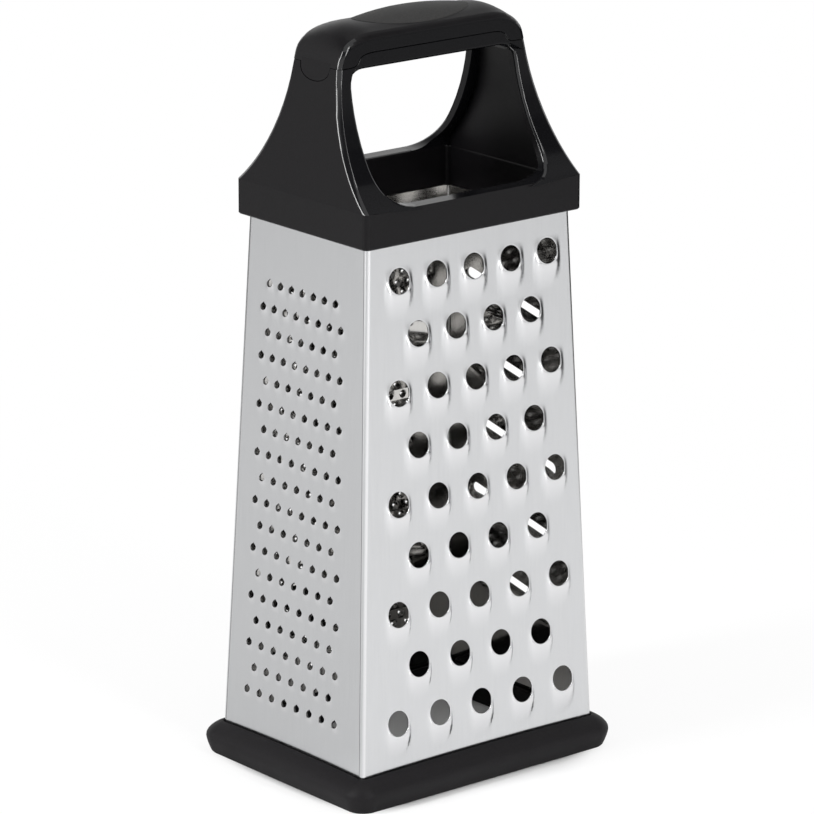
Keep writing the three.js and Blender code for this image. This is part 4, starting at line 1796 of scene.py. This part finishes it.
@dataclass
class Studio:
    """Pale floor, soft lamps, white surroundings and the camera."""

    floor_size: float = 8.0
    floor_tone: float = 0.86
    floor_roughness: float = 0.9
    # Tone of the painted shade that reflections see on the floor, and where its right zone starts, fades in and turns.
    dim_tone: float = 0.02
    edge: float = 0.12
    fade: float = 0.3
    edge_turn: float = math.radians(38.0)
    left_shade: float = 0.25
    left_fade: float = 0.06
    glow: tuple[Flat, ...] = ((0.052, 0.0), (0.06, 0.85), (0.14, 0.88), (0.45, 1.0))
    surround: float = 0.55
    ceiling: float = 0.12
    horizon: Flat = (0.2, 0.5)
    backdrop: Point = (0.29, 0.35, 0.0)
    middle: Point = (0.0, 0.0, 0.12)
    lamps: tuple[Lamp, ...] = (
        Lamp("top", (0.2, -0.3, 2.0), (2.2, 2.2), 12.0),
        Lamp("left_strip", (-1.5, 0.2, 1.0), (0.26, 2.0), 24.0),
        Lamp("front_strip", (-0.1, -1.5, 1.0), (0.26, 2.0), 14.0),
    )
    camera_place: Point = (-0.9422, -1.1313, 0.5391)
    azimuth: float = math.radians(-39.768)
    rise: float = math.radians(16.163)
    roll: float = math.radians(-0.183)
    view: float = math.radians(9.449)

    def floor(self) -> None:
        """Lays the floor, nearly white to the camera with a faint shadow."""
        clear_bench()
        bpy.ops.mesh.primitive_plane_add(size=self.floor_size)
        floor = bpy.context.object
        floor.name = "studio_floor"
        bench = Bench("studio_floor")
        path = bench.node("ShaderNodeLightPath").outputs
        # Reflections see the floor darkened by painted shade.
        dim = bench.reckon("MULTIPLY", self.shade(bench), path["Is Glossy Ray"])
        bench.tint(dim, (self.floor_tone,) * 3, (self.dim_tone,) * 3)
        bench.shader.inputs["Roughness"].default_value = self.floor_roughness
        bench.shader.inputs["Specular IOR Level"].default_value = 0.0
        glow = bench.node("ShaderNodeEmission", Strength=1.0)
        mix = bench.node("ShaderNodeMixShader")
        bench.link(bench.reckon("MULTIPLY", path["Is Camera Ray"], self.spread(bench)), mix.inputs[0])
        bench.link(bench.shader.outputs["BSDF"], mix.inputs[1])
        bench.link(glow.outputs["Emission"], mix.inputs[2])
        bench.link(mix.outputs["Shader"], bench.tree.nodes["Material Output"].inputs["Surface"])
        floor.data.materials.append(bench.material)

    def shade(self, bench: Bench) -> bpy.types.NodeSocket:
        """Paints shade on the floor that only reflections see: a dark zone behind the object on the right and, less so,
        a painted shadow on the left.

        Args:
            bench: The floor's material.

        Returns:
            Socket that gives the share of the dim tone.
        """
        turned = bench.node("ShaderNodeMapping", Rotation=(0.0, 0.0, -self.edge_turn))
        apart = bench.node("ShaderNodeSeparateXYZ")
        right = bench.node("ShaderNodeMapRange", From_Min=self.edge, From_Max=self.edge + self.fade)
        left = bench.node("ShaderNodeMapRange", From_Min=0.0, From_Max=self.left_fade, To_Max=self.left_shade)
        bench.link(bench.place, turned.inputs["Vector"])
        bench.link(turned.outputs["Vector"], apart.inputs["Vector"])
        bench.link(apart.outputs["X"], right.inputs["Value"])
        bench.link(apart.outputs["Y"], left.inputs["Value"])
        return bench.reckon("MAXIMUM", right.outputs["Result"], left.outputs["Result"])

    def spread(self, bench: Bench) -> bpy.types.NodeSocket:
        """Brightens the floor away from the object, so that the camera sees a shadow only close to it.

        Args:
            bench: The floor's material.

        Returns:
            Socket that gives the share of plain white.
        """
        reach = bench.node("ShaderNodeVectorMath")
        reach.operation = "LENGTH"
        ramp = bench.node("ShaderNodeValToRGB")
        stops = ramp.color_ramp.elements
        while len(stops) < len(self.glow):
            stops.new(0.5)
        for stop, (place, value) in zip(stops, self.glow):
            stop.position = place
            stop.color = (value, value, value, 1.0)
        bench.link(bench.place, reach.inputs[0])
        bench.link(reach.outputs["Value"], ramp.inputs["Fac"])
        return ramp.outputs["Color"]

    def world(self) -> None:
        """Surrounds the object with white for the camera and reflections, highest behind it, and softer white light."""
        world = bpy.data.worlds.new("white_surround")
        bpy.context.scene.world = world
        world.use_nodes = True
        sky = world.node_tree.nodes["Background"].inputs
        sky["Color"].default_value = (1.0, 1.0, 1.0, 1.0)
        wires = Wiring(world.node_tree)
        path = wires.node("ShaderNodeLightPath").outputs
        way = wires.node("ShaderNodeTexCoord").outputs["Generated"]
        apart = wires.node("ShaderNodeSeparateXYZ")
        behind = wires.node("ShaderNodeVectorMath")
        behind.operation = "DOT_PRODUCT"
        behind.inputs[1].default_value = self.backdrop
        wires.link(way, apart.inputs["Vector"])
        wires.link(way, behind.inputs[0])
        beyond = wires.reckon("MAXIMUM", behind.outputs["Value"], 0.0)
        low, high = self.horizon
        ceiling = wires.node("ShaderNodeMapRange", From_Min=low, From_Max=high, To_Min=1.0, To_Max=self.ceiling)
        wires.link(wires.reckon("SUBTRACT", apart.outputs["Z"], beyond), ceiling.inputs["Value"])
        mirrored = wires.reckon("MULTIPLY", ceiling.outputs["Result"], path["Is Glossy Ray"])
        seen = wires.reckon("MAXIMUM", path["Is Camera Ray"], mirrored)
        clear = wires.reckon("MAXIMUM", seen, path["Is Transmission Ray"])
        lit = wires.reckon("MULTIPLY", path["Is Diffuse Ray"], self.surround)
        wires.link(wires.reckon("MAXIMUM", clear, lit), sky["Strength"])

    def camera(self) -> None:
        """Sets up the camera at the photograph's viewing angle."""
        level = math.cos(self.rise)
        back = Vector((math.sin(self.azimuth) * level, -math.cos(self.azimuth) * level, math.sin(self.rise)))
        right = Vector((math.cos(self.azimuth), math.sin(self.azimuth), 0.0))
        up = back.cross(right)
        across = right * math.cos(self.roll) - up * math.sin(self.roll)
        upward = right * math.sin(self.roll) + up * math.cos(self.roll)
        data = bpy.data.cameras.new("camera")
        data.sensor_fit = "HORIZONTAL"
        data.angle = self.view
        camera = bpy.data.objects.new("camera", data)
        bpy.context.scene.collection.objects.link(camera)
        turn = Matrix((across, upward, back)).transposed().to_4x4()
        camera.matrix_world = Matrix.Translation(self.camera_place) @ turn
        bpy.context.scene.camera = camera

    def build(self) -> None:
        """Builds the whole studio."""
        bpy.context.scene.view_settings.view_transform = "Standard"
        self.floor()
        self.world()
        for lamp in self.lamps:
            lamp.hang(self.middle)
        self.camera()


def steel_faces() -> list[SteelFace]:
    """Lists the four sides of the steel body with their punches.

    Returns:
        The faces in the order in which they are built.
    """
    wide = {"foot_span": 94.0, "head_span": 80.6, "foot_reach": 34.8, "head_reach": 28.8, "rounded": True}
    narrow = {"foot_span": 69.6, "head_span": 57.6, "foot_reach": 47.0, "head_reach": 40.3, "rounded": False,
              "fold": 1.55}
    return [
        CoarseFace("coarse_sheet", "coarse_face", Side.FRONT, **wide,
                   punches=Punches(rows=9, columns=5, row_pitch=17.35, first_row=14.6, column_pitch=17.0, above=5.6,
                                   kept=6.1, shift=1.0)),
        FineFace("fine_sheet", "fine_face", Side.LEFT, **narrow,
                 punches=Punches(rows=18, columns=8, row_pitch=7.75, first_row=13.5, column_pitch=6.3, above=3.3,
                                 kept=1.8, shift=-1.2)),
        RaspFace("rasp_sheet", "rasp_face", Side.BACK, **wide,
                 punches=Punches(rows=44, columns=11, row_pitch=3.4, first_row=10.5, column_pitch=5.6, above=1.7,
                                 kept=1.6)),
        SlicerFace("slicer_sheet", "slicer_face", Side.RIGHT, **narrow,
                   punches=Punches(rows=5, columns=1, row_pitch=24.0, first_row=34.5, column_pitch=52.0, above=10.0,
                                   kept=24.0, staggered=False)),
    ]


def main() -> None:
    """Builds the studio and the pieces in order."""
    logging.basicConfig(level=logging.INFO, format="%(name)s %(message)s")
    Studio().build()
    steel, inner, cut = POLISHED_STEEL.material(), INNER_STEEL.material(), CUT_STEEL.material()
    gloss, satin, edge = GLOSS_BLACK.material(), SATIN_BLACK.material(), EDGE_BLACK.material()
    for face in steel_faces():
        face.build(steel, inner, cut)
    FootRing().build(FOOT_RUBBER.material())
    handle = Handle()
    handle.build(gloss, satin, edge)
    cap = GripCap()
    cap.build(handle, gloss, satin, edge)
    GripPad().build(cap, handle, PALM_RUBBER.material())


if __name__ == "__main__":
    main()
